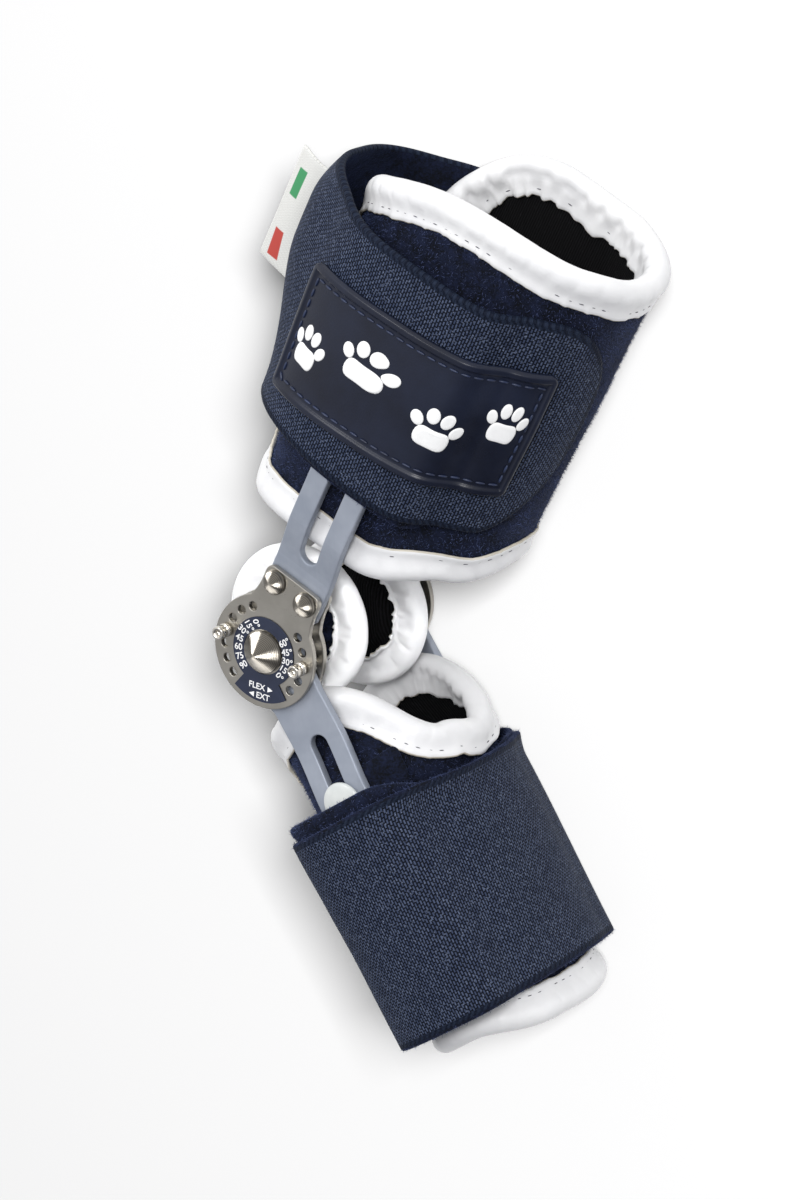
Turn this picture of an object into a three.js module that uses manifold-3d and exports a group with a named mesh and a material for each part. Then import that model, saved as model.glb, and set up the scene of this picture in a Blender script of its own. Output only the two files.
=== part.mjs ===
// Hinged carpal brace for a dog, lying on its inner side: a forearm cuff and a paw cuff,
// each a padded wrap with a stuffed binding, carried by slotted bars on two stop hinges.
// The hinge axis is +Z, the floor is z = 0, and the forearm points to +Y.
import * as THREE from 'three';
import { mergeVertices } from 'three/addons/utils/BufferGeometryUtils.js';
import Module from 'manifold-3d';

const wasm = await Module();
wasm.setup();

// driving sizes, in millimetres and degrees
const midZ = 34;             // height of the brace's middle plane above the floor
const gap = 0.3;             // clearance between hard pieces that lie on each other
const layerGap = 0.5;        // and between layers of cloth
const clothWall = 3;         // velour, foam and lining together
const strapThick = 1.6;
const bandThick = 1.4;
const pocketThick = 0.9;
const beadRadius = 3.5;      // stuffed binding along every cloth edge
const flangeThick = 0.9;
const flangeLength = 5.5;

const barThick = 2.5;
const upperBarWidth = 18;
const lowerBarWidth = 17;
const slotWidth = 5.6;
const barCorner = 4;
const plateThick = 1.6;
const plateRadius = 15.8;
const tabReach = 23.4;       // top edge of the plates' tab from the hinge axis
const tabLength = 5.5;       // straight part of the tab's sides
const tabCorner = 1.5;
const innerPlateZ = 22.4;    // hinge stack, measured outwards from the middle plane
const barZ = innerPlateZ + plateThick + gap;
const outerPlateZ = barZ + barThick + gap;
const plateFaceZ = outerPlateZ + plateThick;

const holeCircle = 12.4;     // stop holes round the pivot
const holeRadius = 1.25;
const stopRadius = 0.95;
const stopHead = { radius: 1.75, height: 2.6, stand: 2.2 };
const flexHoles = { count: 7, first: 99.6, step: 18.65, screw: 3 };
const extHoles = { count: 5, first: 23, step: -19.3, screw: 2 };
const pivotRadius = 3;
const footThick = 1.2;       // riveted ends under the inner plates
const rivetRadius = 3.4;
const rivetShank = 1.5;
const rivetReach = 19.6;     // the two domes stand on the plates' tab
const rivetSpread = 5.2;
const headRadius = 10.4;     // round end of the lower bar between the plates
const lugRadius = 14;
const extensionSpan = 75;    // how far the lower half swings between the stop screws

const upperAim = 58.5;       // direction of each half in the XY plane, from +X
const lowerAim = -61;

const cloth = { color: 0x12182a, roughness: 0.95, metalness: 0 };
const woven = { color: 0x1c2438, roughness: 0.85, metalness: 0 };
const vinyl = { color: 0xf1f1f2, roughness: 0.4, metalness: 0 };
const lining = { color: 0x16161a, roughness: 0.95, metalness: 0 };
const rubber = { color: 0x151b2c, roughness: 0.5, metalness: 0 };
const alloy = { color: 0x8c95a3, roughness: 0.45, metalness: 0.8 };
const steel = { color: 0xa09c95, roughness: 0.3, metalness: 1 };
const printed = { color: 0x1f2638, roughness: 0.5, metalness: 0 };
const pearl = { color: 0xd6d8d6, roughness: 0.35, metalness: 0 };

const sides = [
  { side: 'lateral', turn: 0, outwards: 1 },
  { side: 'medial', turn: 180, outwards: -1 },
];

const brace = new THREE.Group();
const rad = THREE.MathUtils.degToRad;

function put(name, geometry, finish) {
  const mesh = new THREE.Mesh(geometry, new THREE.MeshStandardMaterial(finish));
  mesh.name = name;
  brace.add(mesh);
}

// value between the rows of a short table, eased so that no row shows as a crease
function along(rows, key, column, at) {
  const last = rows.length - 1;
  if (at <= rows[0][key]) return rows[0][column];
  if (at >= rows[last][key]) return rows[last][column];
  const i = rows.findIndex((row) => row[key] > at) - 1;
  const t = (at - rows[i][key]) / (rows[i + 1][key] - rows[i][key]);
  const eased = t * t * (3 - 2 * t);
  return rows[i][column] + (rows[i + 1][column] - rows[i][column]) * eased;
}

function fromArrays(positions, indices) {
  const geometry = new THREE.BufferGeometry();
  geometry.setAttribute('position', new THREE.Float32BufferAttribute(positions, 3));
  geometry.setIndex(indices);
  return geometry;
}

// one set of shared corners, without the shading data that keeps them apart
function joined(geometry) {
  geometry.deleteAttribute('normal');
  geometry.deleteAttribute('uv');
  return mergeVertices(geometry, 1e-4);
}

function solid(geometry) {
  const merged = joined(geometry);
  return new wasm.Manifold(new wasm.Mesh({
    numProp: 3,
    vertProperties: new Float32Array(merged.attributes.position.array),
    triVerts: new Uint32Array(merged.index.array),
  }));
}

function geometryOf(manifold) {
  const mesh = manifold.getMesh();
  return fromArrays(Array.from(mesh.vertProperties), Array.from(mesh.triVerts));
}

// A half of the brace: its long axis, the direction across it towards the palm side, and
// the section of its cuff, an oval whose sides the bars flatten. Angles round the cuff start at
// the outer side and grow towards the palm.
function half({ aim, palmSide, offset, power, stack }, stations) {
  const flattened = (value) => Math.sign(value) * Math.abs(value) ** (2 / power);
  const axis = new THREE.Vector3(Math.cos(rad(aim)), Math.sin(rad(aim)), 0);
  const across = new THREE.Vector3(-axis.y, axis.x, 0).multiplyScalar(palmSide);
  // a point at s along the axis and phi round it, lifted off the cuff's outer face
  const at = (s, phi, lift) => {
    const sine = flattened(Math.sin(rad(phi)));
    const width = along(stations, 's', sine > 0 ? 'palmWidth' : 'width', s) + lift;
    const height = along(stations, 's', 'height', s) + lift;
    const side = offset + width * sine;
    const z = Math.max(midZ + height * flattened(Math.cos(rad(phi))), stack - lift);
    return new THREE.Vector3().addScaledVector(axis, s).addScaledVector(across, side).setZ(z);
  };
  return { axis, across, palmSide, at };
}

// stack is the height of the bar and straps under the cuff where it lies on the floor
const upper = half({ aim: upperAim, palmSide: -1, offset: 2, power: 2.4, stack: 7.7 }, [
  { s: 40, width: 33.5, palmWidth: 36, height: 23.6 },
  { s: 60, width: 35, palmWidth: 38, height: 26 },
  { s: 100, width: 36, palmWidth: 39.3, height: 27.5 },
  { s: 140, width: 36.5, palmWidth: 39.5, height: 28.5 },
]);
const lower = half({ aim: lowerAim, palmSide: 1, offset: -2, power: 2.4, stack: 8.2 }, [
  { s: 14, width: 24.5, palmWidth: 27, height: 20.8 },
  { s: 24, width: 24.5, palmWidth: 28.5, height: 21.8 },
  { s: 43, width: 21.2, palmWidth: 27.6, height: 26 },
  { s: 57, width: 21.2, palmWidth: 20.6, height: 26.1 },
  { s: 116, width: 21.2, palmWidth: 17, height: 26.6 },
]);

// Cloth panel: a grid of columns round the cuff, with both ends rounded, between two edges.
function panelGrid(panel, columnCount) {
  const perDegree = rad(panel.reach);
  const cornerTurns = [0, 30, 60];
  const corner = cornerTurns.map((turn) => panel.corner * (1 - Math.cos(rad(turn))) / perDegree);
  const from = panel.from + panel.corner / perDegree;
  const to = panel.to - panel.corner / perDegree;
  const columns = [
    ...corner.map((d) => panel.from + d),
    ...Array.from({ length: columnCount + 1 }, (_, i) => from + (to - from) * i / columnCount),
    ...corner.toReversed().map((d) => panel.to - d),
  ];
  return columns.map((phi) => {
    const reach = Math.min(phi - panel.from, panel.to - phi) * perDegree;
    const short = Math.max(panel.corner - reach, 0);
    const inset = panel.corner - Math.sqrt(Math.max(panel.corner ** 2 - short ** 2, 0));
    const low = along(panel.rows, 'phi', 'low', phi) + inset;
    const high = along(panel.rows, 'phi', 'high', phi) - inset;
    return panel.rowsAt.map((share) => ({ phi, s: low + (high - low) * share }));
  });
}
const edgeRows = [0, 0.07, 0.35, 0.65, 0.93, 1];
const evenRows = [0, 0.33, 0.67, 1];

// closed wall between two lifts over a grid; a loop joins its last column to its first
function wall(body, grid, innerLift, outerLift, loop = false) {
  const positions = [];
  const indices = [];
  const cols = grid.length;
  const rows = grid[0].length;
  for (const lift of [outerLift, innerLift]) {
    for (const column of grid) {
      for (const { phi, s } of column) positions.push(...body.at(s, phi, lift(phi)));
    }
  }
  const inner = cols * rows;
  const id = (c, r) => (c % cols) * rows + r;
  const quad = (a, b, c, d) => indices.push(a, b, c, a, c, d);
  const spans = loop ? cols : cols - 1;
  for (let c = 0; c < spans; c += 1) {
    for (let r = 0; r < rows - 1; r += 1) {
      quad(id(c, r), id(c + 1, r), id(c + 1, r + 1), id(c, r + 1));
      quad(inner + id(c, r), inner + id(c, r + 1), inner + id(c + 1, r + 1), inner + id(c + 1, r));
    }
    quad(id(c, 0), inner + id(c, 0), inner + id(c + 1, 0), id(c + 1, 0));
    quad(id(c + 1, rows - 1), inner + id(c + 1, rows - 1), inner + id(c, rows - 1), id(c, rows - 1));
  }
  if (!loop) {
    for (let r = 0; r < rows - 1; r += 1) {
      quad(id(0, r + 1), inner + id(0, r + 1), inner + id(0, r), id(0, r));
      const end = cols - 1;
      quad(id(end, r), inner + id(end, r), inner + id(end, r + 1), id(end, r + 1));
    }
  }
  return facedOut(fromArrays(positions, indices));
}

// turns a closed mesh the right way out if its volume comes out negative
function facedOut(geometry) {
  const p = geometry.attributes.position;
  const index = Array.from(geometry.index.array);
  const [a, b, c] = [new THREE.Vector3(), new THREE.Vector3(), new THREE.Vector3()];
  let volume = 0;
  for (let i = 0; i < index.length; i += 3) {
    a.fromBufferAttribute(p, index[i]);
    b.fromBufferAttribute(p, index[i + 1]);
    c.fromBufferAttribute(p, index[i + 2]);
    volume += a.dot(b.clone().cross(c));
  }
  if (volume < 0) geometry.setIndex(index.toReversed());
  return geometry;
}

// Binding: a stuffed bead with two flat flanges that hold the cloth's edge between them.
// Section columns: out from the edge, and along the cloth's normal.
const slotHalf = clothWall / 2 + layerGap;
const bindingSection = [
  [-flangeLength, slotHalf],
  [-flangeLength, slotHalf + flangeThick],
  ...[120, 42, -42, -120].map((turn) => [
    gap + 1.3 + beadRadius * Math.cos(rad(turn)), beadRadius * Math.sin(rad(turn)),
  ]),
  [-flangeLength, -slotHalf - flangeThick],
  [-flangeLength, -slotHalf],
  [gap, -slotHalf],
  [gap, slotHalf],
];

// sweeps the binding's section round a closed edge of points with normals
function binding(edge) {
  const positions = [];
  const indices = [];
  const count = edge.length;
  const ring = bindingSection.length;
  edge.forEach(({ point, normal }, i) => {
    const ahead = edge[(i + 1) % count].point.clone().sub(point).normalize();
    const behind = point.clone().sub(edge[(i + count - 1) % count].point).normalize();
    const outward = ahead.add(behind).cross(normal).normalize();
    const up = normal.clone().addScaledVector(outward, -normal.dot(outward)).normalize();
    for (const [out, rise] of bindingSection) {
      positions.push(...point.clone().addScaledVector(outward, out).addScaledVector(up, rise));
    }
  });
  for (let i = 0; i < count; i += 1) {
    for (let j = 0; j < ring; j += 1) {
      const a = i * ring + j;
      const b = i * ring + (j + 1) % ring;
      const c = ((i + 1) % count) * ring + (j + 1) % ring;
      const d = ((i + 1) % count) * ring + j;
      indices.push(a, b, c, a, c, d);
    }
  }
  return facedOut(fromArrays(positions, indices));
}

function panelEdge(body, grid) {
  const last = grid.length - 1;
  const top = grid[0].length - 1;
  const cells = [
    ...grid.map((column) => column[0]),
    ...grid[last].slice(1, top),
    ...grid.toReversed().map((column) => column[top]),
    ...grid[0].slice(1, top).toReversed(),
  ];
  if (body.palmSide > 0) cells.reverse();
  const middle = -clothWall / 2;
  return cells.map(({ phi, s }) => {
    const lengthwise = body.at(s + 1, phi, middle).sub(body.at(s - 1, phi, middle));
    const round = body.at(s, phi + 2, middle).sub(body.at(s, phi - 2, middle));
    const point = body.at(s, phi, middle);
    const normal = lengthwise.cross(round).normalize();
    const lifted = body.at(s, phi, middle + 1).sub(point);
    return { point, normal: normal.multiplyScalar(Math.sign(normal.dot(lifted))) };
  });
}

// lift of a layer that passes over a bar on the outer and inner sides and bridges the open back
function layerLift(rows) {
  return (phi) => along(rows, 'phi', 'lift', phi);
}

const flat = (lift) => () => lift;
const raised = (lift, by) => (phi) => lift(phi) + by;

// binding of a panel, cut clear of the cloth that it holds
function fittedBinding(body, grid) {
  const clothRoom = wall(body, grid, flat(-clothWall - gap), flat(gap));
  return geometryOf(solid(binding(panelEdge(body, grid))).subtract(solid(clothRoom)));
}

// forearm cuff, open at the back of the leg between its two rounded ends
const upperPanel = {
  from: -66, to: 226, corner: 14, reach: 33, rowsAt: edgeRows,
  rows: [
    { phi: -66, low: 41, high: 122 },
    { phi: -41, low: 42, high: 126 },
    { phi: -16, low: 44, high: 133.3 },
    { phi: 10, low: 45, high: 137.5 },
    { phi: 53, low: 47.5, high: 135.5 },
    { phi: 95, low: 50, high: 133.5 },
    { phi: 180, low: 45, high: 135 },
    { phi: 226, low: 41, high: 124 },
  ],
};
const upperGrid = panelGrid(upperPanel, 18);
put('upper_cuff', wall(upper, upperGrid, flat(-clothWall), flat(0)), lining);
put('upper_binding', fittedBinding(upper, upperGrid), vinyl);

// paw cuff, cut lower on the palm side so that the brace can fold
const lowerPanel = {
  from: -80, to: 238, corner: 10, reach: 28, rowsAt: edgeRows,
  rows: [
    { phi: -80, low: 33, high: 112 },
    { phi: -40, low: 23, high: 111 },
    { phi: 0, low: 19.5, high: 110.5 },
    { phi: 20, low: 23.5, high: 111.5 },
    { phi: 56, low: 38.4, high: 114 },
    { phi: 75, low: 42, high: 115.5 },
    { phi: 105, low: 43, high: 115.5 },
    { phi: 130, low: 37.7, high: 113 },
    { phi: 155, low: 27.8, high: 112 },
    { phi: 180, low: 22.5, high: 111 },
    { phi: 238, low: 30, high: 112 },
  ],
};
const lowerGrid = panelGrid(lowerPanel, 16);
put('lower_cuff', wall(lower, lowerGrid, flat(-clothWall), flat(0)), lining);
put('lower_binding', fittedBinding(lower, lowerGrid), vinyl);

// velour pockets that cover the ends of the upper bars
const overBar = barThick + 2 * gap + 1.2;
const pocketRows = [
  { phi: -32, lift: gap },
  { phi: -17, lift: overBar },
  { phi: 17, lift: overBar },
  { phi: 32, lift: gap },
];
const pocketLift = layerLift(pocketRows);
for (const { side, turn } of sides) {
  const pocket = {
    from: turn - 32, to: turn + 32, corner: 5, reach: 33, rowsAt: evenRows,
    rows: [{ phi: turn, low: 56, high: 118 }],
  };
  const lift = (phi) => pocketLift(phi - turn);
  put(`upper_pocket_${side}`, wall(upper, panelGrid(pocket, 10), lift, raised(lift, pocketThick)), cloth);
}

// wide strap: sewn to the inner side, round the open back and over the outer side to a round end
const strapOver = overBar + pocketThick + layerGap + 0.4;
const upperStrapLift = layerLift([
  { phi: -214, lift: gap + pocketThick + layerGap },
  { phi: -197, lift: strapOver },
  { phi: -163, lift: strapOver },
  { phi: -146, lift: 3 },
  { phi: -100, lift: 6 },
  { phi: -60, lift: 6 },
  { phi: -17, lift: strapOver },
  { phi: 17, lift: strapOver },
  { phi: 36, lift: gap + pocketThick + layerGap },
  { phi: 60, lift: layerGap },
]);
const upperStrapPanel = {
  from: -214, to: 84, corner: 22, reach: 36, rowsAt: evenRows,
  rows: [
    { phi: -214, low: 52, high: 112 },
    { phi: -150, low: 52, high: 121 },
    { phi: -105, low: 55, high: 123 },
    { phi: -70, low: 58, high: 128.5 },
    { phi: -28, low: 59, high: 122 },
    { phi: 5, low: 58.5, high: 123 },
    { phi: 50, low: 62, high: 126 },
    { phi: 84, low: 68, high: 126 },
  ],
};
put('upper_strap', wall(upper, panelGrid(upperStrapPanel, 30),
  upperStrapLift, raised(upperStrapLift, strapThick)), woven);

// rubber badge on the strap, a plain plate with a raised border
const badge = {
  from: -42, to: 56, height: 38, thick: 1, border: 0.7, rim: 2.4, rowStart: 86.3, rowEnd: 94.4, reach: 42,
};
const badgeLift = raised(upperStrapLift, strapThick + layerGap + 0.2);
function badgeGrid(inset, columns, rows) {
  const perDegree = rad(badge.reach);
  const from = badge.from + inset / perDegree;
  const to = badge.to - inset / perDegree;
  const half = badge.height / 2 - inset;
  return Array.from({ length: columns + 1 }, (_, c) => {
    const phi = from + (to - from) * c / columns;
    const t = (phi - badge.from) / (badge.to - badge.from);
    const middle = badge.rowStart + (badge.rowEnd - badge.rowStart) * t;
    return Array.from({ length: rows + 1 }, (_, r) => ({ phi, s: middle - half + 2 * half * r / rows }));
  });
}
const badgeTop = raised(badgeLift, badge.thick + badge.border);
const badgePlate = solid(wall(upper, badgeGrid(0, 14, 1), badgeLift, badgeTop));
const badgeRecess = solid(wall(upper, badgeGrid(badge.rim, 14, 1),
  raised(badgeLift, badge.thick), raised(badgeLift, badge.thick + 3)));
put('strap_badge', geometryOf(badgePlate.subtract(badgeRecess)), rubber);

// woven band round the whole paw cuff, with the wide strap over it
const buttonHeight = 1.9;
const bandOver = barThick + 2 * gap + 1.6;
const overFlange = 2;
const flare = 1.6; // more room where the cuff widens at the palm
const lowerBandLift = layerLift([
  { phi: -180, lift: bandOver },
  { phi: -150, lift: bandOver },
  { phi: -126, lift: overFlange },
  { phi: -56, lift: overFlange },
  { phi: -28, lift: bandOver + buttonHeight + gap },
  { phi: 28, lift: bandOver + buttonHeight + gap },
  { phi: 56, lift: overFlange },
  { phi: 72, lift: overFlange + flare },
  { phi: 108, lift: overFlange + flare },
  { phi: 126, lift: overFlange },
  { phi: 150, lift: bandOver },
  { phi: 180, lift: bandOver },
]);
const aroundOnce = (phi) => lowerBandLift(THREE.MathUtils.euclideanModulo(phi + 180, 360) - 180);
const bandLow = 46.2;
const bandHigh = 110;
const bandColumns = 32;
const flareRows = [0, 0.09, 0.185, 0.55, 1];
const bandGrid = Array.from({ length: bandColumns }, (_, c) => (
  flareRows.map((share) => ({ phi: -180 + 360 * c / bandColumns, s: bandLow + (bandHigh - bandLow) * share }))
));
put('lower_band', wall(lower, bandGrid, aroundOnce, raised(aroundOnce, bandThick), true), cloth);

const lowerStrapLift = raised(aroundOnce, bandThick + layerGap);
const lowerStrapPanel = {
  from: -57, to: 232, corner: 1.5, reach: 34, rowsAt: flareRows,
  rows: [{ phi: 0, low: 47.5, high: 109 }],
};
put('lower_strap', wall(lower, panelGrid(lowerStrapPanel, 28),
  lowerStrapLift, raised(lowerStrapLift, strapThick)), woven);

// folded woven tag that stands out from the strap at the back of the cuff
const tag = { phi: -88, low: 80, high: 113, reach: 16, thick: 1.2 };
function sideTag() {
  const foot = upper.at((tag.low + tag.high) / 2, tag.phi, upperStrapLift(tag.phi) + strapThick + layerGap);
  const outline = new THREE.Shape([
    new THREE.Vector2(tag.low, 0),
    new THREE.Vector2(tag.high, 0),
    new THREE.Vector2(tag.high + 2, tag.reach),
    new THREE.Vector2(tag.low + 2, tag.reach),
  ]);
  const geometry = new THREE.ExtrudeGeometry(outline, { depth: tag.thick, bevelEnabled: false });
  const back = upper.across.clone().negate();
  const footSide = foot.dot(back);
  const basis = new THREE.Matrix4().makeBasis(upper.axis, back, new THREE.Vector3(0, 0, 1));
  basis.setPosition(back.clone().multiplyScalar(footSide).setZ(foot.z - tag.thick / 2));
  return geometry.applyMatrix4(basis);
}
put('side_tag', facedOut(joined(sideTag())), vinyl);

// flat piece cut from sheet: an outline pushed up from z0, with round holes
function sheetCut(outline, z0, thick, holes = []) {
  for (const { x, y, radius, sides } of holes) {
    const ring = Array.from({ length: sides }, (_, i) => {
      const turn = 2 * Math.PI * i / sides;
      return new THREE.Vector2(x + radius * Math.cos(turn), y + radius * Math.sin(turn));
    });
    outline.holes.push(new THREE.Path(ring));
  }
  const geometry = new THREE.ExtrudeGeometry(outline, { depth: thick, bevelEnabled: false });
  return geometry.translate(0, 0, z0);
}

const polar = (radius, turn) => (
  new THREE.Vector2(radius * Math.cos(rad(turn)), radius * Math.sin(rad(turn)))
);
const inPlane = (body, s, side) => (
  new THREE.Vector2(body.axis.x * s + body.across.x * side, body.axis.y * s + body.across.y * side)
);

// hinge plate: a disc with a tab towards the upper bar
function plateOutline() {
  const half = upperBarWidth / 2;
  const neckTurn = 42;
  const points = [];
  for (let turn = neckTurn; turn <= 360 - neckTurn; turn += 9) {
    points.push(polar(plateRadius, upperAim + turn));
  }
  points.push(inPlane(upper, tabReach - tabLength, half));
  points.push(inPlane(upper, tabReach - tabCorner, half));
  points.push(inPlane(upper, tabReach, half - tabCorner));
  points.push(inPlane(upper, tabReach, tabCorner - half));
  points.push(inPlane(upper, tabReach - tabCorner, -half));
  points.push(inPlane(upper, tabReach - tabLength, -half));
  return new THREE.Shape(points);
}

const holeTurns = ({ count, first, step }) => Array.from({ length: count }, (_, i) => first + step * i);
const screwTurns = [flexHoles, extHoles].map((row) => row.first + row.step * row.screw);
const allTurns = [...holeTurns(flexHoles), ...holeTurns(extHoles)];
const rivetSpots = [-rivetSpread, rivetSpread].map((side) => inPlane(upper, rivetReach, side));
const pivotHole = { x: 0, y: 0, radius: pivotRadius + gap, sides: 16 };
const rivetHoles = rivetSpots.map(({ x, y }) => ({ x, y, radius: rivetShank + gap, sides: 8 }));
const stopHoles = (turns) => turns.map((turn) => {
  const { x, y } = polar(holeCircle, turn);
  return { x, y, radius: holeRadius, sides: 6 };
});

// height of a piece that lies from z0 to z0 + thick outwards of the middle plane, on either side
const level = (outwards, z0, thick) => (outwards > 0 ? midZ + z0 : midZ - z0 - thick);
const plateKinds = [
  { kind: 'outer', z0: outerPlateZ, turns: allTurns },
  { kind: 'inner', z0: innerPlateZ, turns: screwTurns },
];
for (const { side, outwards } of sides) {
  for (const { kind, z0, turns } of plateKinds) {
    const holes = [pivotHole, ...rivetHoles, ...stopHoles(turns)];
    const plate = sheetCut(plateOutline(), level(outwards, z0, plateThick), plateThick, holes);
    put(`hinge_plate_${kind}_${side}`, joined(plate), steel);
  }
}

// printed dial: a ring round the pivot with a sector below it
const dial = { inner: 6.2, outer: 9.6, sectorOuter: 14.1, from: 223, to: 294.5, thick: 0.2, lift: 0.1 };
function dialFace() {
  const points = [];
  for (let turn = dial.from; turn <= dial.to; turn += (dial.to - dial.from) / 6) {
    points.push(polar(dial.sectorOuter, turn));
  }
  for (let turn = dial.to; turn <= dial.from + 360; turn += (dial.from + 360 - dial.to) / 18) {
    points.push(polar(dial.outer, turn));
  }
  const ring = { x: 0, y: 0, radius: dial.inner, sides: 16 };
  return sheetCut(new THREE.Shape(points), midZ + plateFaceZ + dial.lift, dial.thick, [ring]);
}
put('dial_face', joined(dialFace()), printed);

// bent bar: its side view pushed across, then cut to its outline and slot
function bar(body, outline, bends, outwards) {
  const below = bends.map(({ s, z }) => new THREE.Vector2(s, midZ + outwards * z));
  const above = bends.map(({ s, z }) => new THREE.Vector2(s, midZ + outwards * (z + barThick)));
  const profile = new THREE.Shape([...below, ...above.toReversed()]);
  const reach = 60;
  const swept = new THREE.ExtrudeGeometry(profile, { depth: reach, bevelEnabled: false });
  swept.translate(0, 0, -reach / 2);
  const turned = new THREE.Matrix4().makeBasis(
    body.axis, new THREE.Vector3(0, 0, 1), body.axis.clone().cross(new THREE.Vector3(0, 0, 1)),
  );
  const cutter = sheetCut(outline, 0, 2 * midZ + 20).translate(0, 0, -10);
  const side = facedOut(joined(swept.applyMatrix4(turned)));
  return geometryOf(solid(side).intersect(solid(cutter)));
}

function slotHole(body, from, to) {
  const points = [];
  for (let turn = 0; turn <= 180; turn += 30) {
    const side = slotWidth / 2 * Math.cos(rad(turn));
    points.push(inPlane(body, to + slotWidth / 2 * Math.sin(rad(turn)), side));
  }
  for (let turn = 180; turn <= 360; turn += 30) {
    const side = slotWidth / 2 * Math.cos(rad(turn));
    points.push(inPlane(body, from + slotWidth / 2 * Math.sin(rad(turn)), side));
  }
  return new THREE.Path(points);
}

const roundHole = ({ x, y, radius, sides: count }) => new THREE.Path(
  Array.from({ length: count }, (_, i) => new THREE.Vector2(
    x + radius * Math.cos(2 * Math.PI * i / count), y + radius * Math.sin(2 * Math.PI * i / count),
  )),
);

const upperBarEnd = 80;
function upperBarOutline() {
  const half = upperBarWidth / 2;
  const start = lugRadius + 1.2;
  const outline = new THREE.Shape([
    inPlane(upper, start, -half),
    inPlane(upper, start, half),
    inPlane(upper, upperBarEnd - barCorner, half),
    inPlane(upper, upperBarEnd, half - barCorner),
    inPlane(upper, upperBarEnd, barCorner - half),
    inPlane(upper, upperBarEnd - barCorner, -half),
  ]);
  outline.holes.push(slotHole(upper, 32, 66), ...rivetHoles.map(roundHole));
  return outline;
}
const upperBends = [
  { s: 12, z: barZ },
  { s: 25, z: barZ },
  { s: 41, z: barZ + 2.3 },
  { s: upperBarEnd + 2, z: barZ + 2.9 },
];

// The lower bar's round end turns between the plates. Its lugs meet the two stop screws at the
// ends of its swing: the front lug as the brace lies here, folded, and the back lug when opened.
const stopReach = THREE.MathUtils.radToDeg((stopRadius + gap) / holeCircle);
const frontLug = screwTurns[1] - lowerAim - stopReach;
const backLug = screwTurns[0] - 360 - (lowerAim - extensionSpan) + stopReach;
const lowerBarEnd = 66;
const lowerFlare = 2.2;
function lowerBarOutline() {
  const half = lowerBarWidth / 2;
  const points = [];
  for (let turn = frontLug; turn <= 360 + backLug; turn += (360 + backLug - frontLug) / 20) {
    points.push(polar(headRadius, lowerAim + turn));
  }
  points.push(polar(lugRadius, lowerAim + backLug));
  points.push(polar(lugRadius, lowerAim + backLug * 0.75));
  points.push(inPlane(lower, lugRadius + 1.5, -half));
  points.push(inPlane(lower, lowerBarEnd - barCorner, -half));
  points.push(inPlane(lower, lowerBarEnd, barCorner - half));
  points.push(inPlane(lower, lowerBarEnd, half - barCorner));
  points.push(inPlane(lower, lowerBarEnd - barCorner, half));
  points.push(inPlane(lower, lugRadius + 1.5, half));
  points.push(polar(lugRadius, lowerAim + frontLug));
  const outline = new THREE.Shape(points);
  outline.holes.push(slotHole(lower, 28.5, 55), roundHole(pivotHole));
  return outline;
}
const lowerBends = [
  { s: -headRadius - 4, z: barZ },
  { s: 26, z: barZ },
  { s: 46, z: barZ + lowerFlare },
  { s: lowerBarEnd + 2, z: barZ + lowerFlare },
];
for (const { side, outwards } of sides) {
  put(`upper_bar_${side}`, bar(upper, upperBarOutline(), upperBends, outwards), alloy);
  put(`lower_bar_${side}`, bar(lower, lowerBarOutline(), lowerBends, outwards), alloy);
}

// turned piece on a line parallel to the hinge axis; rows give radius and height outwards
function turned(rows, spot, sidesCount, outwards) {
  const points = rows.map(({ r, z }) => new THREE.Vector2(r, z));
  const geometry = new THREE.LatheGeometry(points, sidesCount);
  geometry.rotateX(outwards * Math.PI / 2);
  geometry.translate(spot.x, spot.y, midZ);
  return facedOut(joined(geometry));
}

const stackFoot = innerPlateZ - footThick;
const rivetRows = [
  { r: 0, z: stackFoot },
  { r: rivetShank + footThick, z: stackFoot },
  { r: rivetShank + footThick, z: innerPlateZ - gap },
  { r: rivetShank, z: innerPlateZ - gap },
  { r: rivetShank, z: plateFaceZ + gap },
  { r: rivetRadius, z: plateFaceZ + gap },
  { r: rivetRadius * 0.96, z: plateFaceZ + gap + 0.8 },
  { r: rivetRadius * 0.74, z: plateFaceZ + gap + 1.8 },
  { r: rivetRadius * 0.38, z: plateFaceZ + gap + 2.4 },
  { r: 0, z: plateFaceZ + gap + 2.6 },
];
const screwTop = plateFaceZ + stopHead.stand + stopHead.height;
const screwRows = [
  { r: 0, z: innerPlateZ },
  { r: stopRadius, z: innerPlateZ },
  { r: stopRadius, z: plateFaceZ + stopHead.stand },
  { r: stopHead.radius, z: plateFaceZ + stopHead.stand },
  { r: stopHead.radius, z: screwTop },
  { r: 0.9, z: screwTop },
  { r: 0.9, z: screwTop - 1.4 },
  { r: 0, z: screwTop - 1.4 },
];
const pivotFoot = [
  { r: 0, z: stackFoot },
  { r: pivotRadius + 1.6, z: stackFoot },
  { r: pivotRadius + 1.6, z: innerPlateZ - gap },
  { r: pivotRadius, z: innerPlateZ - gap },
];
const coneRows = [
  ...pivotFoot,
  { r: pivotRadius, z: plateFaceZ + gap },
  { r: 5.8, z: plateFaceZ + gap },
  { r: 5.6, z: plateFaceZ + 1 },
  { r: 0.9, z: plateFaceZ + 4.6 },
  { r: 0, z: plateFaceZ + 4.9 },
];
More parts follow.
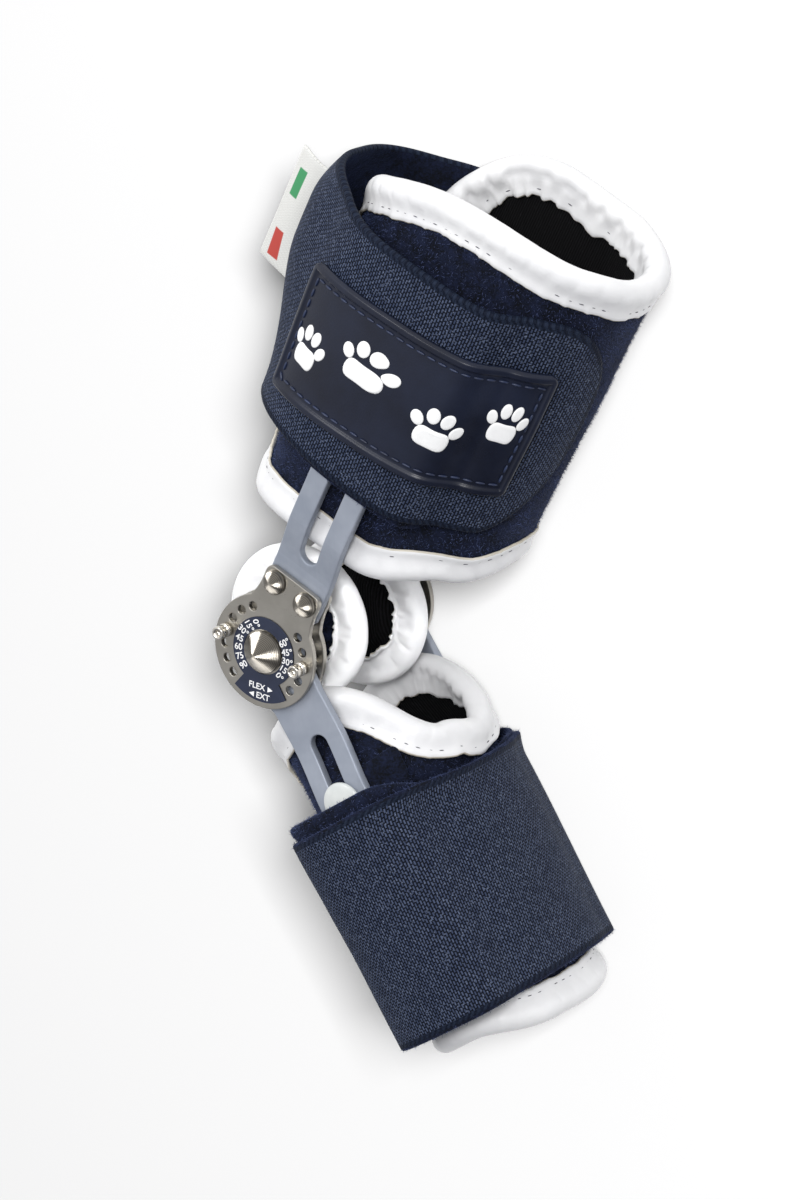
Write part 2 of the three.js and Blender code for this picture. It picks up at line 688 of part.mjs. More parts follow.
// the inner side's pivot has a flat head that meets the floor
const flatRows = [
  ...pivotFoot,
  { r: pivotRadius, z: plateFaceZ + gap },
  { r: 5.8, z: plateFaceZ + gap },
  { r: 5.8, z: midZ - 0.4 },
  { r: 5.4, z: midZ },
  { r: 0, z: midZ },
];
for (const { side, outwards } of sides) {
  rivetSpots.forEach((spot, i) => {
    put(`dome_rivet_${side}_${i + 1}`, turned(rivetRows, spot, 8, outwards), steel);
  });
  if (outwards > 0) {
    screwTurns.forEach((at, i) => {
      put(`stop_screw_${side}_${i + 1}`, turned(screwRows, polar(holeCircle, at), 8, outwards), steel);
    });
  }
  const rows = outwards > 0 ? coneRows : flatRows;
  put(`pivot_${side}`, turned(rows, new THREE.Vector2(0, 0), 12, outwards), steel);
}

// domed button on the outer lower bar, half under the band
const buttonReach = 45;
const buttonSpot = inPlane(lower, buttonReach, 0);
const buttonFoot = barZ + barThick + lowerFlare + gap;
const buttonRows = [
  { r: 0, z: buttonFoot },
  { r: 6, z: buttonFoot },
  { r: 5.7, z: buttonFoot + 0.9 },
  { r: 3.6, z: buttonFoot + 1.6 },
  { r: 0, z: buttonFoot + buttonHeight },
];
put('bar_button_lateral', turned(buttonRows, buttonSpot, 12, 1), pearl);

// round pads inside the hinges, each a stuffed disc with its own binding
const padRadius = 16.3;
const padMiddle = 12.6;
const padCentres = { lateral: inPlane(upper, 3.6, -1.6), medial: inPlane(upper, 1.6, 1.8) };
const padSteps = 18;
for (const { side, outwards } of sides) {
  const padCentre = padCentres[side];
  const rows = [
    { r: 0, z: padMiddle - 4.2 },
    { r: padRadius * 0.6, z: padMiddle - 3.6 },
    { r: padRadius - flangeLength - 0.6, z: padMiddle - clothWall / 2 - 0.6 },
    { r: padRadius - flangeLength - 0.2, z: padMiddle - clothWall / 2 },
    { r: padRadius, z: padMiddle - clothWall / 2 },
    { r: padRadius, z: padMiddle + clothWall / 2 },
    { r: padRadius - flangeLength - 0.2, z: padMiddle + clothWall / 2 },
    { r: padRadius - flangeLength - 0.6, z: padMiddle + clothWall / 2 + 1.2 },
    { r: padRadius * 0.45, z: stackFoot - gap - 0.2 },
    { r: 0, z: stackFoot - gap },
  ];
  put(`round_pad_${side}`, turned(rows, padCentre, padSteps, outwards), lining);
  const normal = new THREE.Vector3(0, 0, outwards);
  const edge = Array.from({ length: padSteps }, (_, i) => {
    const { x, y } = polar(padRadius, 360 * i / padSteps * outwards).add(padCentre);
    return { point: new THREE.Vector3(x, y, midZ + outwards * padMiddle), normal };
  });
  put(`pad_binding_${side}`, binding(edge), vinyl);
}

export default brace;
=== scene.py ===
import contextlib
import math

import bmesh
import bpy
from mathutils import Matrix, Vector, noise


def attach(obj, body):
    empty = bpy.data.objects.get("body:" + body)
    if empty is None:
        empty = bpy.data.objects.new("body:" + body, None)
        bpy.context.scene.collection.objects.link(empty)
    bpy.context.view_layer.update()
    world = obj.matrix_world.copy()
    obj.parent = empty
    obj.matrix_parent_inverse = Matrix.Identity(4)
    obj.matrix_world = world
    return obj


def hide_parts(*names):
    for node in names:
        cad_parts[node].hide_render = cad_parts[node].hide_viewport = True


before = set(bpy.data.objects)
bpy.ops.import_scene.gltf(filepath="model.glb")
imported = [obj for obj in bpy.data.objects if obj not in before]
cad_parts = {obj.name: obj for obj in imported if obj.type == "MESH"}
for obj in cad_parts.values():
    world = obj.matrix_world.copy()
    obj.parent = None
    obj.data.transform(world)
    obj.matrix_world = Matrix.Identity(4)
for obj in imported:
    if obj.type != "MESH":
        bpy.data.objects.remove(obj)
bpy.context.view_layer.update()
scene = bpy.context.scene
mm = 0.001
waveLength = math.pi / 10  # repeat of a wave texture of scale 1
print("frame loaded:", len(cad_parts), "nodes")


# colours and nodes

def linear(hexColor):
    values = [int(hexColor[i:i + 2], 16) / 255 for i in (1, 3, 5)]
    return tuple(v / 12.92 if v <= 0.04045 else ((v + 0.055) / 1.055) ** 2.4 for v in values) + (1.0,)


# a node given as a value links its first output
def setInputs(node, values):
    for key, value in values.items():
        if isinstance(value, bpy.types.Node):
            value = next(output for output in value.outputs if output.enabled)
        if isinstance(value, bpy.types.NodeSocket):
            node.id_data.links.new(value, node.inputs[key])
        else:
            node.inputs[key].default_value = value


# a kind without a prefix is a shader node; stops fill a colour ramp
def addNode(tree, kind, values=None, stops=(), **settings):
    node = tree.nodes.new(kind if "Node" in kind else "ShaderNode" + kind)
    for key, value in settings.items():
        setattr(node, key, value)
    setInputs(node, values or {})
    for i, (position, hexColor) in enumerate(stops):
        element = node.color_ramp.elements[i] if i < 2 else node.color_ramp.elements.new(position)
        element.position = position
        element.color = linear(hexColor)
    return node


def startMaterial(name, roughness, **sockets):
    mat = bpy.data.materials.new(name)
    mat.use_nodes = True
    tree = mat.node_tree
    shader = tree.nodes["Principled BSDF"]
    shader.inputs["Roughness"].default_value = roughness
    for key, value in sockets.items():
        shader.inputs[key].default_value = value
    return mat, tree, shader, tree.nodes.new("ShaderNodeTexCoord").outputs


# finishes; a pattern's scale is one over its size, in metres on Object and in millimetres on UV

# brushed nylon velour: dull deep navy, with soft patches where the pile lies and single hairs,
# which are drawn coarser than real so that they show
def velourFinish(name, dark, light):
    mat, tree, shader, maps = startMaterial(name, 0.92, **{
        "Sheen Weight": 0.3, "Sheen Roughness": 0.4, "Sheen Tint": linear("#5a6fa8"),
        "Specular IOR Level": 0.2,
    })
    nap = addNode(tree, "TexNoise", {
        "Vector": maps["Object"], "Scale": 1 / (3.846 * mm), "Detail": 4.0, "Roughness": 0.65})
    pile = addNode(tree, "TexNoise", {
        "Vector": maps["Object"], "Scale": 1 / (0.5882 * mm), "Detail": 2.0, "Roughness": 0.6})
    hairs = addNode(tree, "Math", {0: pile, 1: 0.4}, operation="MULTIPLY")
    both = addNode(tree, "Math", {0: nap, 1: 0.6, 2: hairs}, operation="MULTIPLY_ADD")
    brushed = addNode(tree, "Bump", {"Height": nap, "Strength": 0.35, "Distance": 1.2 * mm})
    setInputs(shader, {
        "Base Color": addNode(tree, "ValToRGB", {"Fac": both}, [(0.4, dark), (0.6, light)]),
        "Normal": addNode(tree, "Bump", {
            "Height": pile, "Strength": 0.7, "Distance": 0.5 * mm, "Normal": brushed}),
    })
    return mat


# woven nylon hook tape: staggered rows of short floats, light flecks at the hooks that are painted highlight
# standing in for their glints, a ribbed selvedge, and on a strap with a loose end a frayed grey strip
def hookTapeFinish(name, frayed=0.0):
    mat, tree, shader, maps = startMaterial(name, 0.62, **{
        "Specular IOR Level": 0.08, "Sheen Weight": 0.04, "Sheen Roughness": 0.35,
        "Sheen Tint": linear("#8090b8"),
    })
    uv = maps["UV"]
    drift = addNode(tree, "TexNoise", {"Vector": uv, "Scale": 1 / 8.333, "Detail": 2.0}).outputs["Color"]
    bent = addNode(tree, "VectorMath", {0: drift, 1: (0.5, 0.5, 0.0), 2: uv}, operation="MULTIPLY_ADD")
    across = addNode(tree, "Mapping", {"Vector": bent, "Rotation": (0.0, 0.0, math.pi / 2)})
    rows = addNode(tree, "TexBrick", {
        "Vector": across, "Scale": 1.0, "Mortar Size": 0.26, "Mortar Smooth": 0.8, "Bias": 0.0,
        "Brick Width": 1.4, "Row Height": 0.8,
        "Color1": linear("#4b556d"), "Color2": linear("#343d54"), "Mortar": linear("#060912"),
    }, offset=0.5, squash=1.0)
    # pale dots at the hooks, stronger in slow patches: painted highlight in place of glints on the hooks; the
    # same dots also raise the bump
    hooks = addNode(tree, "TexVoronoi", {"Vector": bent, "Scale": 1 / 0.8696, "Randomness": 0.7})
    dots = addNode(tree, "MapRange", {0: hooks, 1: 0.1, 2: 0.34, 3: 1.0, 4: 0.0})
    glintCloud = addNode(tree, "TexNoise", {"Vector": uv, "Scale": 1 / 14.286, "Detail": 3.0, "Roughness": 0.6})
    patch = addNode(tree, "MapRange", {0: glintCloud, 1: 0.3, 2: 0.75, 3: 0.3, 4: 0.6})
    paintedGlints = addNode(tree, "Math", {0: dots, 1: patch}, operation="MULTIPLY")
    # the painted glint dots are mixed into the tape's colour here
    body = addNode(tree, "Mix", {0: paintedGlints, 6: rows, 7: linear("#8f9bb6")}, data_type="RGBA")
    if frayed:
        along = addNode(tree, "SeparateXYZ", {"Vector": uv})
        tears = addNode(tree, "TexNoise", {
            "Vector": uv, "Scale": 1 / 2.857, "Detail": 3.0, "Roughness": 0.7})
        ragged = addNode(tree, "Math", {0: tears, 1: 7.0, 2: along}, operation="MULTIPLY_ADD")
        drawn = addNode(tree, "Mapping", {"Vector": bent, "Scale": (1.4, 0.7, 1.0)})
        strands = addNode(tree, "TexNoise", {
            "Vector": drawn, "Scale": 1 / 0.6667, "Detail": 4.0, "Roughness": 0.75})
        loose = addNode(tree, "ValToRGB", {"Fac": strands},
                        [(0.4, "#15181f"), (0.62, "#4b4e57"), (0.74, "#85878c")])
        share = addNode(tree, "MapRange", {0: ragged, 1: frayed + 2, 2: frayed + 5, 3: 0.85, 4: 0.0})
        body = addNode(tree, "Mix", {0: share, 6: body, 7: loose}, data_type="RGBA")
    edge = addNode(tree, "Attribute", attribute_name="edgeDistance").outputs["Fac"]
    selvedge = addNode(tree, "MapRange", {0: edge, 1: 1.1, 2: 1.4, 3: 1.0, 4: 0.0})
    ribs = addNode(tree, "TexWave", {
        "Vector": uv, "Scale": waveLength / 1.0472, "Distortion": 0.5, "Detail": 1.0,
    }, bands_direction="DIAGONAL")
    ribbed = addNode(tree, "ValToRGB", {"Fac": ribs.outputs["Fac"]}, [(0.2, "#121827"), (0.8, "#1f2738")])
    sunk = addNode(tree, "Math", {0: rows.outputs["Fac"], 1: -1.0}, operation="MULTIPLY")
    relief = addNode(tree, "Math", {0: dots, 1: 0.6, 2: sunk}, operation="MULTIPLY_ADD")
    setInputs(shader, {
        "Base Color": addNode(tree, "Mix", {0: selvedge, 6: body, 7: ribbed}, data_type="RGBA"),
        "Normal": addNode(tree, "Bump", {"Height": relief, "Strength": 0.7, "Distance": 0.6 * mm}),
    })
    return mat


# coated vinyl over a stuffed bead: a soft satin white, a little see-through, with creases and a fine grain
def vinylFinish():
    mat, tree, shader, maps = startMaterial("whiteVinyl", 0.38, **{
        "Specular IOR Level": 0.45, "Subsurface Weight": 0.08, "Subsurface Radius": (2 * mm, 2 * mm, 2 * mm),
        "Coat Weight": 0.08,
    })
    soil = addNode(tree, "TexNoise", {
        "Vector": maps["Object"], "Scale": 1 / (22.222 * mm), "Detail": 4.0, "Roughness": 0.6})
    creased = addNode(tree, "TexNoise", {
        "Vector": maps["Object"], "Scale": 1 / (7.692 * mm), "Detail": 3.0, "Roughness": 0.6})
    grain = addNode(tree, "TexNoise", {
        "Vector": maps["Object"], "Scale": 1 / (0.41667 * mm), "Detail": 2.0, "Roughness": 0.5})
    soft = addNode(tree, "Bump", {"Height": creased, "Strength": 0.12, "Distance": 2 * mm})
    setInputs(shader, {
        "Base Color": addNode(tree, "ValToRGB", {"Fac": soil}, [(0.3, "#dbdbdd"), (0.62, "#e6e6e7")]),
        "Roughness": addNode(tree, "MapRange", {0: creased, 1: 0.3, 2: 0.7, 3: 0.3, 4: 0.46}),
        "Normal": addNode(tree, "Bump", {
            "Height": grain, "Strength": 0.08, "Distance": 0.3 * mm, "Normal": soft}),
    })
    return mat


# knitted black lining: almost no light comes back, only faint ribs and loops
def liningFinish():
    mat, tree, shader, maps = startMaterial("ribbedLining", 0.9, **{"Specular IOR Level": 0.1})
    ribs = addNode(tree, "TexWave", {
        "Vector": maps["UV"], "Scale": waveLength / 0.748, "Distortion": 0.8, "Detail": 2.0,
    }, bands_direction="X")
    loops = addNode(tree, "TexNoise", {
        "Vector": maps["Object"], "Scale": 1 / (0.66667 * mm), "Detail": 2.0, "Roughness": 0.6})
    knots = addNode(tree, "Math", {0: loops, 1: 0.3}, operation="MULTIPLY")
    both = addNode(tree, "Math", {0: ribs.outputs["Fac"], 1: 0.7, 2: knots}, operation="MULTIPLY_ADD")
    setInputs(shader, {
        "Base Color": addNode(tree, "ValToRGB", {"Fac": both}, [(0.2, "#040405"), (0.85, "#131315")]),
        "Normal": addNode(tree, "Bump", {"Height": both, "Strength": 0.5, "Distance": 0.5 * mm}),
    })
    return mat


# moulded soft PVC: dark and smooth, with blurred glints that break up where it was handled
def rubberFinish():
    mat, tree, shader, maps = startMaterial("badgeRubber", 0.36, **{"Specular IOR Level": 0.38})
    cloud = addNode(tree, "TexNoise", {
        "Vector": maps["Object"], "Scale": 1 / (16.667 * mm), "Detail": 3.0, "Roughness": 0.6})
    skin = addNode(tree, "TexNoise", {
        "Vector": maps["Object"], "Scale": 1 / (0.71429 * mm), "Detail": 2.0, "Roughness": 0.5})
    setInputs(shader, {
        "Base Color": addNode(tree, "ValToRGB", {"Fac": cloud}, [(0.35, "#0d1222"), (0.7, "#151c30")]),
        "Roughness": addNode(tree, "MapRange", {0: cloud, 1: 0.3, 2: 0.7, 3: 0.26, 4: 0.4}),
        "Normal": addNode(tree, "Bump", {"Height": skin, "Strength": 0.1, "Distance": 0.3 * mm}),
    })
    return mat


# rolled sheet metal: brush marks, given by their size along each axis, blur its reflections unevenly
def metalFinish(name, dark, light, roughness, brush, metallic=1.0):
    mat, tree, shader, maps = startMaterial(name, roughness, Metallic=metallic)
    cloud = addNode(tree, "TexNoise", {
        "Vector": maps["Object"], "Scale": 1 / (11.111 * mm), "Detail": 3.0, "Roughness": 0.6})
    drawn = addNode(tree, "Mapping", {"Vector": maps["Object"], "Scale": [1 / (size * mm) for size in brush]})
    marks = addNode(tree, "TexNoise", {"Vector": drawn, "Scale": 1.0, "Detail": 3.0, "Roughness": 0.6})
    setInputs(shader, {
        "Base Color": addNode(tree, "ValToRGB", {"Fac": cloud}, [(0.3, dark), (0.7, light)]),
        "Roughness": addNode(tree, "MapRange", {
            0: marks, 1: 0.3, 2: 0.7, 3: roughness * 0.8, 4: roughness * 1.25}),
        "Normal": addNode(tree, "Bump", {"Height": marks, "Strength": 0.06, "Distance": 0.2 * mm}),
    })
    return mat


# steel turned on a lathe: rings 0.35 mm apart draw its glints out into bright fans; the UV is in
# millimetres from the piece's own axis and also gives the direction of the glints
def turnedFinish(name, dark, light, roughness):
    mat, tree, shader, maps = startMaterial(name, roughness, Metallic=1.0, Anisotropic=0.85)
    rings = addNode(tree, "TexWave", {
        "Vector": maps["UV"], "Scale": waveLength / 0.349, "Distortion": 1.0, "Detail": 2.0,
    }, wave_type="RINGS", rings_direction="Z").outputs["Fac"]
    setInputs(shader, {
        "Base Color": addNode(tree, "ValToRGB", {"Fac": rings}, [(0.2, dark), (0.8, light)]),
        "Normal": addNode(tree, "Bump", {"Height": rings, "Strength": 0.12, "Distance": 0.1 * mm}),
        "Tangent": maps["UV"],
    })
    return mat


# print, plastic, thread and cut edges: one colour with faint clouds and a grain of its own size
def plainFinish(name, dark, light, roughness, grainSize=1.1111):
    mat, tree, shader, maps = startMaterial(name, roughness)
    cloud = addNode(tree, "TexNoise", {
        "Vector": maps["Object"], "Scale": 1 / (8.333 * mm), "Detail": 3.0, "Roughness": 0.6})
    grain = addNode(tree, "TexNoise", {
        "Vector": maps["Object"], "Scale": 1 / (grainSize * mm), "Detail": 2.0, "Roughness": 0.5})
    setInputs(shader, {
        "Base Color": addNode(tree, "ValToRGB", {"Fac": cloud}, [(0.3, dark), (0.7, light)]),
        "Normal": addNode(tree, "Bump", {"Height": grain, "Strength": 0.12, "Distance": 0.3 * mm}),
    })
    return mat


# woven polyester label: matt white threads, with two bars in coloured thread
def tagFinish():
    bars = [(3.0, 11.5, "#b5443c"), (21.5, 30.0, "#3f8f5e")]  # from, to, colour
    mat, tree, shader, maps = startMaterial("wovenTag", 0.8)
    threads = addNode(tree, "TexBrick", {
        "Vector": maps["UV"], "Scale": 1.0, "Mortar Size": 0.05, "Brick Width": 0.5, "Row Height": 0.35,
    }).outputs["Fac"]
    parts = addNode(tree, "SeparateXYZ", {"Vector": maps["UV"]})
    along, reach = parts.outputs["X"], parts.outputs["Y"]
    color = addNode(tree, "Mix", {
        0: threads, 6: linear("#dededb"), 7: linear("#c2c2be")}, data_type="RGBA")
    lower = addNode(tree, "MapRange", {0: reach, 1: 5.2, 2: 5.4})
    upper = addNode(tree, "MapRange", {0: reach, 1: 8.0, 2: 8.2, 3: 1.0, 4: 0.0})
    inside = addNode(tree, "Math", {0: lower, 1: upper}, operation="MULTIPLY")
    for low, high, hexColor in bars:
        begun = addNode(tree, "MapRange", {0: along, 1: low, 2: low + 0.3})
        ended = addNode(tree, "MapRange", {0: along, 1: high - 0.3, 2: high, 3: 1.0, 4: 0.0})
        band = addNode(tree, "Math", {0: begun, 1: ended}, operation="MULTIPLY")
        share = addNode(tree, "Math", {0: band, 1: inside}, operation="MULTIPLY")
        color = addNode(tree, "Mix", {0: share, 6: color, 7: linear(hexColor)}, data_type="RGBA")
    setInputs(shader, {
        "Base Color": color,
        "Normal": addNode(tree, "Bump", {"Height": threads, "Strength": 0.3, "Distance": 0.2 * mm}),
    })
    return mat


velour = velourFinish("navyVelour", "#03050b", "#151c33")
velourFibre = plainFinish("velourFibre", "#1a213c", "#4a5884", 0.8, 0.33333)
hookTape = hookTapeFinish("hookTape")
frayedTape = hookTapeFinish("frayedTape", 7.0)
whiteVinyl = vinylFinish()
ribbedLining = liningFinish()
badgeRubber = rubberFinish()
wovenTag = tagFinish()
barAlloy = metalFinish("barAlloy", "#8f96a3", "#a0a6b2", 0.5, (1.1111, 8.333, 1.1111), 0.35)
barEdge = metalFinish("barEdge", "#b6bac6", "#c8cbd4", 0.32, (1.6667, 1.6667, 1.6667), 0.6)
plateSteel = metalFinish("plateSteel", "#a19d95", "#b6b2aa", 0.34, (3.333, 0.45455, 3.333))
plateEdge = metalFinish("plateEdge", "#d2cec6", "#e4e1da", 0.22, (2.0, 2.0, 0.4))
polishedSteel = metalFinish("polishedSteel", "#cdc8bf", "#e2ded6", 0.16, (2.5, 2.5, 2.5))
turnedSteel = turnedFinish("turnedSteel", "#5c5852", "#7d7972", 0.28)
dialPrint = plainFinish("dialPrint", "#1a2135", "#232b42", 0.45)
whitePrint = plainFinish("whitePrint", "#eeeeee", "#fafafa", 0.45)
pearlPlastic = plainFinish("pearlPlastic", "#c3c7c6", "#d9dcda", 0.28, 3.333)
vinylEdge = plainFinish("vinylEdge", "#b9b2a4", "#d6d0c4", 0.8, 0.66667)
darkThread = plainFinish("darkThread", "#3c3c44", "#63636c", 0.8, 0.25)
navyThread = plainFinish("navyThread", "#161d33", "#2b3757", 0.42, 0.25)
print("finishes made")


# the two halves of the brace: sections round a slanted axis, as in the frame

midZ = 34.0
clothWall = 3.0
upperHalf = {
    "aim": 58.5, "palmSide": -1, "offset": 2.0, "power": 2.4, "stack": 7.7,
    # s, width at the back, height, width at the palm side
    "stations": [(40, 33.5, 23.6, 36), (60, 35, 26, 38), (100, 36, 27.5, 39.3), (140, 36.5, 28.5, 39.5)],
}
lowerHalf = {
    "aim": -61, "palmSide": 1, "offset": -2.0, "power": 2.4, "stack": 8.2,
    "stations": [(14, 24.5, 20.8, 27), (24, 24.5, 21.8, 28.5), (43, 21.2, 26, 27.6), (57, 21.2, 26.1, 20.6),
                 (116, 21.2, 26.6, 17)],
}
for half in (upperHalf, lowerHalf):
    turn = math.radians(half["aim"])
    half["axis"] = Vector((math.cos(turn), math.sin(turn), 0))
    half["across"] = Vector((-math.sin(turn), math.cos(turn), 0)) * half["palmSide"]


def eased(rows, at, column=1):
    if at <= rows[0][0]:
        return rows[0][column]
    for before, after in zip(rows, rows[1:]):
        if at < after[0]:
            t = (at - before[0]) / (after[0] - before[0])
            return before[column] + (after[column] - before[column]) * t * t * (3 - 2 * t)
    return rows[-1][column]


def smooth(low, high, value):
    t = min(max((value - low) / (high - low), 0.0), 1.0)
    return t * t * (3 - 2 * t)


def onHalf(half, s, phi, lift):
    sine, cosine = math.sin(math.radians(phi)), math.cos(math.radians(phi))
    width = eased(half["stations"], s, 3 if sine > 0 else 1) + lift
    height = eased(half["stations"], s, 2) + lift
    flat = 2 / half["power"]
    side = half["offset"] + width * math.copysign(abs(sine) ** flat, sine)
    z = midZ + height * math.copysign(abs(cosine) ** flat, cosine)
    spot = half["axis"] * s + half["across"] * side
    spot.z = max(z, half["stack"] - lift)
    return spot


def inPlane(half, s, side, z=0.0):
    spot = half["axis"] * s + half["across"] * side
    spot.z = z
    return spot


# rises over the first two limits and falls over the last two
def window(limits, value):
    return smooth(*limits[:2], value) * (1 - smooth(*limits[2:], value))


def wrapped(phi):
    return (phi + 180) % 360 - 180


# slow waviness that every layer on a half shares, so that the layers stay apart; the floor side is flat
waviness = {"height": 0.45, "along": 0.045, "around": 1.5, "floorSide": (100, 140)}


def rumple(half, s, phi):
    turn, around = math.radians(phi), waviness["around"]
    spot = Vector((s * waviness["along"], math.cos(turn) * around, math.sin(turn) * around + half["aim"]))
    return waviness["height"] * noise.noise(spot) * (1 - smooth(*waviness["floorSide"], abs(wrapped(phi))))


# how far a rounded corner draws an edge in, at a distance from the panel's end
def cornerInset(corner, reach):
    short = max(corner - reach, 0)
    return corner - math.sqrt(max(corner ** 2 - short ** 2, 0))


# columns of (phi, s) over a panel with rounded corners
def spreadColumns(panel):
    start, end, corner, count, steps = [panel[key] for key in ("from", "to", "corner", "columns", "steps")]
    perDegree = math.radians(panel["reach"])
    turns = [90 * i / panel["cornerSteps"] for i in range(panel["cornerSteps"])]
    nears = [corner * (1 - math.cos(math.radians(turn))) / perDegree for turn in turns]
    low, high = start + corner / perDegree, end - corner / perDegree
    phis = [start + near for near in nears]
    phis += [low + (high - low) * i / count for i in range(count + 1)]
    phis += [end - near for near in reversed(nears)]
    columns = []
    for phi in phis:
        inset = cornerInset(corner, min(phi - start, end - phi) * perDegree)
        bottom = eased(panel["rows"], phi, 1) + inset
        top = eased(panel["rows"], phi, 2) - inset
        columns.append([(phi, bottom + (top - bottom) * i / steps) for i in range(steps + 1)])
    return columns


# mesh building blocks

def addObject(name, data):
    item = bpy.data.objects.new(name, data)
    scene.collection.objects.link(item)
    return item


# an object's finished shape as a plain mesh; the object itself goes
def asMesh(name, holder):
    graph = bpy.context.evaluated_depsgraph_get()
    mesh = bpy.data.meshes.new_from_object(holder.evaluated_get(graph))
    mesh.name = name
    bpy.data.objects.remove(holder)
    return mesh


@contextlib.contextmanager
def editing(mesh):
    shell = bmesh.new()
    shell.from_mesh(mesh)
    yield shell
    shell.to_mesh(mesh)
    shell.free()


def buildPiece(name, verts, faces, mats, faceMats=None, uvs=None, edges=None):
    mesh = bpy.data.meshes.new(name)
    mesh.from_pydata([v * mm for v in verts], [], faces)
    for mat in mats:
        mesh.materials.append(mat)
    if faceMats:
        mesh.polygons.foreach_set("material_index", faceMats)
    mesh.polygons.foreach_set("use_smooth", [True] * len(mesh.polygons))
    if uvs:
        layer = mesh.uv_layers.new(name="clothMap")
        for loop in mesh.loops:
            layer.data[loop.index].uv = uvs[loop.vertex_index]
    if edges:
        attribute = mesh.attributes.new("edgeDistance", "FLOAT", "POINT")
        attribute.data.foreach_set("value", edges)
    faceOutwards(mesh)
    return addObject(name, mesh)


def faceOutwards(mesh):
    volume = 0.0
    for polygon in mesh.polygons:
        corners = [mesh.vertices[i].co for i in polygon.vertices]
        for b, c in zip(corners[1:], corners[2:]):
            volume += corners[0].dot(b.cross(c))
    if volume < 0:
        mesh.flip_normals()


# quads between rings of points that lie one after another; a closed run joins its last ring to its first
def ringFaces(base, rings, count, closed=False):
    faces = []
    for k in range(rings if closed else rings - 1):
        low, high = base + k * count, base + (k + 1) % rings * count
        for i in range(count):
            j = (i + 1) % count
            faces.append((low + i, low + j, high + j, high + i))
    return faces


def addSpline(curve, points):
    spline = curve.splines.new("POLY")
    spline.points.add(len(points) - 1)
    for target, spot in zip(spline.points, points):
        target.co = (*(spot * mm), 1.0)
    spline.use_cyclic_u = True


def dress(piece, body, slot, *nodes):
    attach(piece, body)
    if nodes:
        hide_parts(*nodes)
    return piece


def rimLoops(columns, loop):
    last, top = len(columns) - 1, len(columns[0]) - 1
    if loop:
        return [[(c, 0) for c in range(last + 1)], [(c, top) for c in range(last + 1)]]
    ring = [(c, 0) for c in range(last + 1)] + [(last, r) for r in range(1, top)]
    ring += [(c, top) for c in range(last, -1, -1)] + [(0, r) for r in range(top - 1, 0, -1)]
    return [ring]


# closed shell between two grids of points, with a rounded rim; outer face, rim and inner face
# take a material each
def shellPiece(name, outer, inner, uvGrid, edgeGrid, mats, loop=False, rimRound=0.8, rimSteps=4):
    cols, rows = len(outer), len(outer[0])
    verts = [spot for grid in (outer, inner) for column in grid for spot in column]
    uvs = [uv for column in uvGrid for uv in column] * 2
    edges = [distance for column in edgeGrid for distance in column] * 2
    offset = cols * rows
    faces, faceMats = [], []
    for side, base in ((0, 0), (2, offset)):
        for c in range(cols if loop else cols - 1):
            d = (c + 1) % cols
            for r in range(rows - 1):
                here, there = base + c * rows + r, base + d * rows + r
                quad = (here, there, there + 1, here + 1)
                faces.append(quad if side == 0 else quad[::-1])
                faceMats.append(side)
    for ring in rimLoops(outer, loop):
        count = len(ring)
        centre = [(outer[c][r] + inner[c][r]) / 2 for c, r in ring]
        previous = [c * rows + r for c, r in ring]
        final = [offset + c * rows + r for c, r in ring]
        outwards = []
        for i, (c, r) in enumerate(ring):
            tangent = (centre[(i + 1) % count] - centre[i - 1]).normalized()
            normal = (outer[c][r] - inner[c][r]).normalized()
            away = tangent.cross(normal).normalized()
            inside = outer[c if loop else min(max(c, 1), cols - 2)][min(max(r, 1), rows - 2)]
            outwards.append(away if away.dot(outer[c][r] - inside) >= 0 else -away)
        for step in range(1, rimSteps + 1):
            current = final
            if step < rimSteps:
                turn = math.pi * step / rimSteps
                current = []
                for i, (c, r) in enumerate(ring):
                    halfThick = (outer[c][r] - inner[c][r]) / 2
                    push = outwards[i] * halfThick.length * rimRound * math.sin(turn)
                    current.append(len(verts))
                    verts.append(centre[i] + halfThick * math.cos(turn) + push)
                    uvs.append(uvs[previous[i]])
                    edges.append(0.0)
            for i in range(count):
                j = (i + 1) % count
                faces.append((previous[j], previous[i], current[i], current[j]))
                faceMats.append(1)
            previous = current
    piece = buildPiece(name, verts, faces, mats, faceMats, uvs, edges)
    tidyShell(piece.data)
    return piece


# cloth on a half between two lifts; also gives its flat length, width and area in metres
def clothPiece(name, half, columns, innerLift, outerLift, mats, loop=False, rimRound=0.8, faceMat=None):
    outer = [[onHalf(half, s, phi, outerLift(phi, s)) for phi, s in column] for column in columns]
    inner = [[onHalf(half, s, phi, innerLift(phi, s)) for phi, s in column] for column in columns]
    middle = len(columns[0]) // 2
    along = [0.0]
    for a, b in zip(outer, outer[1:]):
        along.append(along[-1] + (b[middle] - a[middle]).length)
    uvGrid, edgeGrid = [], []
    for column, u in zip(columns, along):
        uvGrid.append([(u, s) for phi, s in column])
        near = [min(s - column[0][1], column[-1][1] - s) for phi, s in column]
        edgeGrid.append(near if loop else [min(d, u, along[-1] - u) for d in near])
    piece = shellPiece(name, outer, inner, uvGrid, edgeGrid, mats, loop, rimRound)
    if faceMat:
        cells = len(columns[0]) - 1
        for c, (a, b) in enumerate(zip(columns, columns[1:])):
            for r in range(cells):
                piece.data.polygons[c * cells + r].material_index = faceMat((a[0][0] + b[0][0]) / 2)
    length = along[-1] + ((outer[0][middle] - outer[-1][middle]).length if loop else 0.0)
    width = max(column[-1][1] for column in columns) - min(column[0][1] for column in columns)
    area = sum(polygon.area for polygon in piece.data.polygons if polygon.material_index != 1) / 2
    return piece, (width * mm, length * mm), min(area, 0.999 * width * length * mm * mm)


def tidyShell(mesh):
    with editing(mesh) as shell:
        bmesh.ops.recalc_face_normals(shell, faces=shell.faces)
    faceOutwards(mesh)


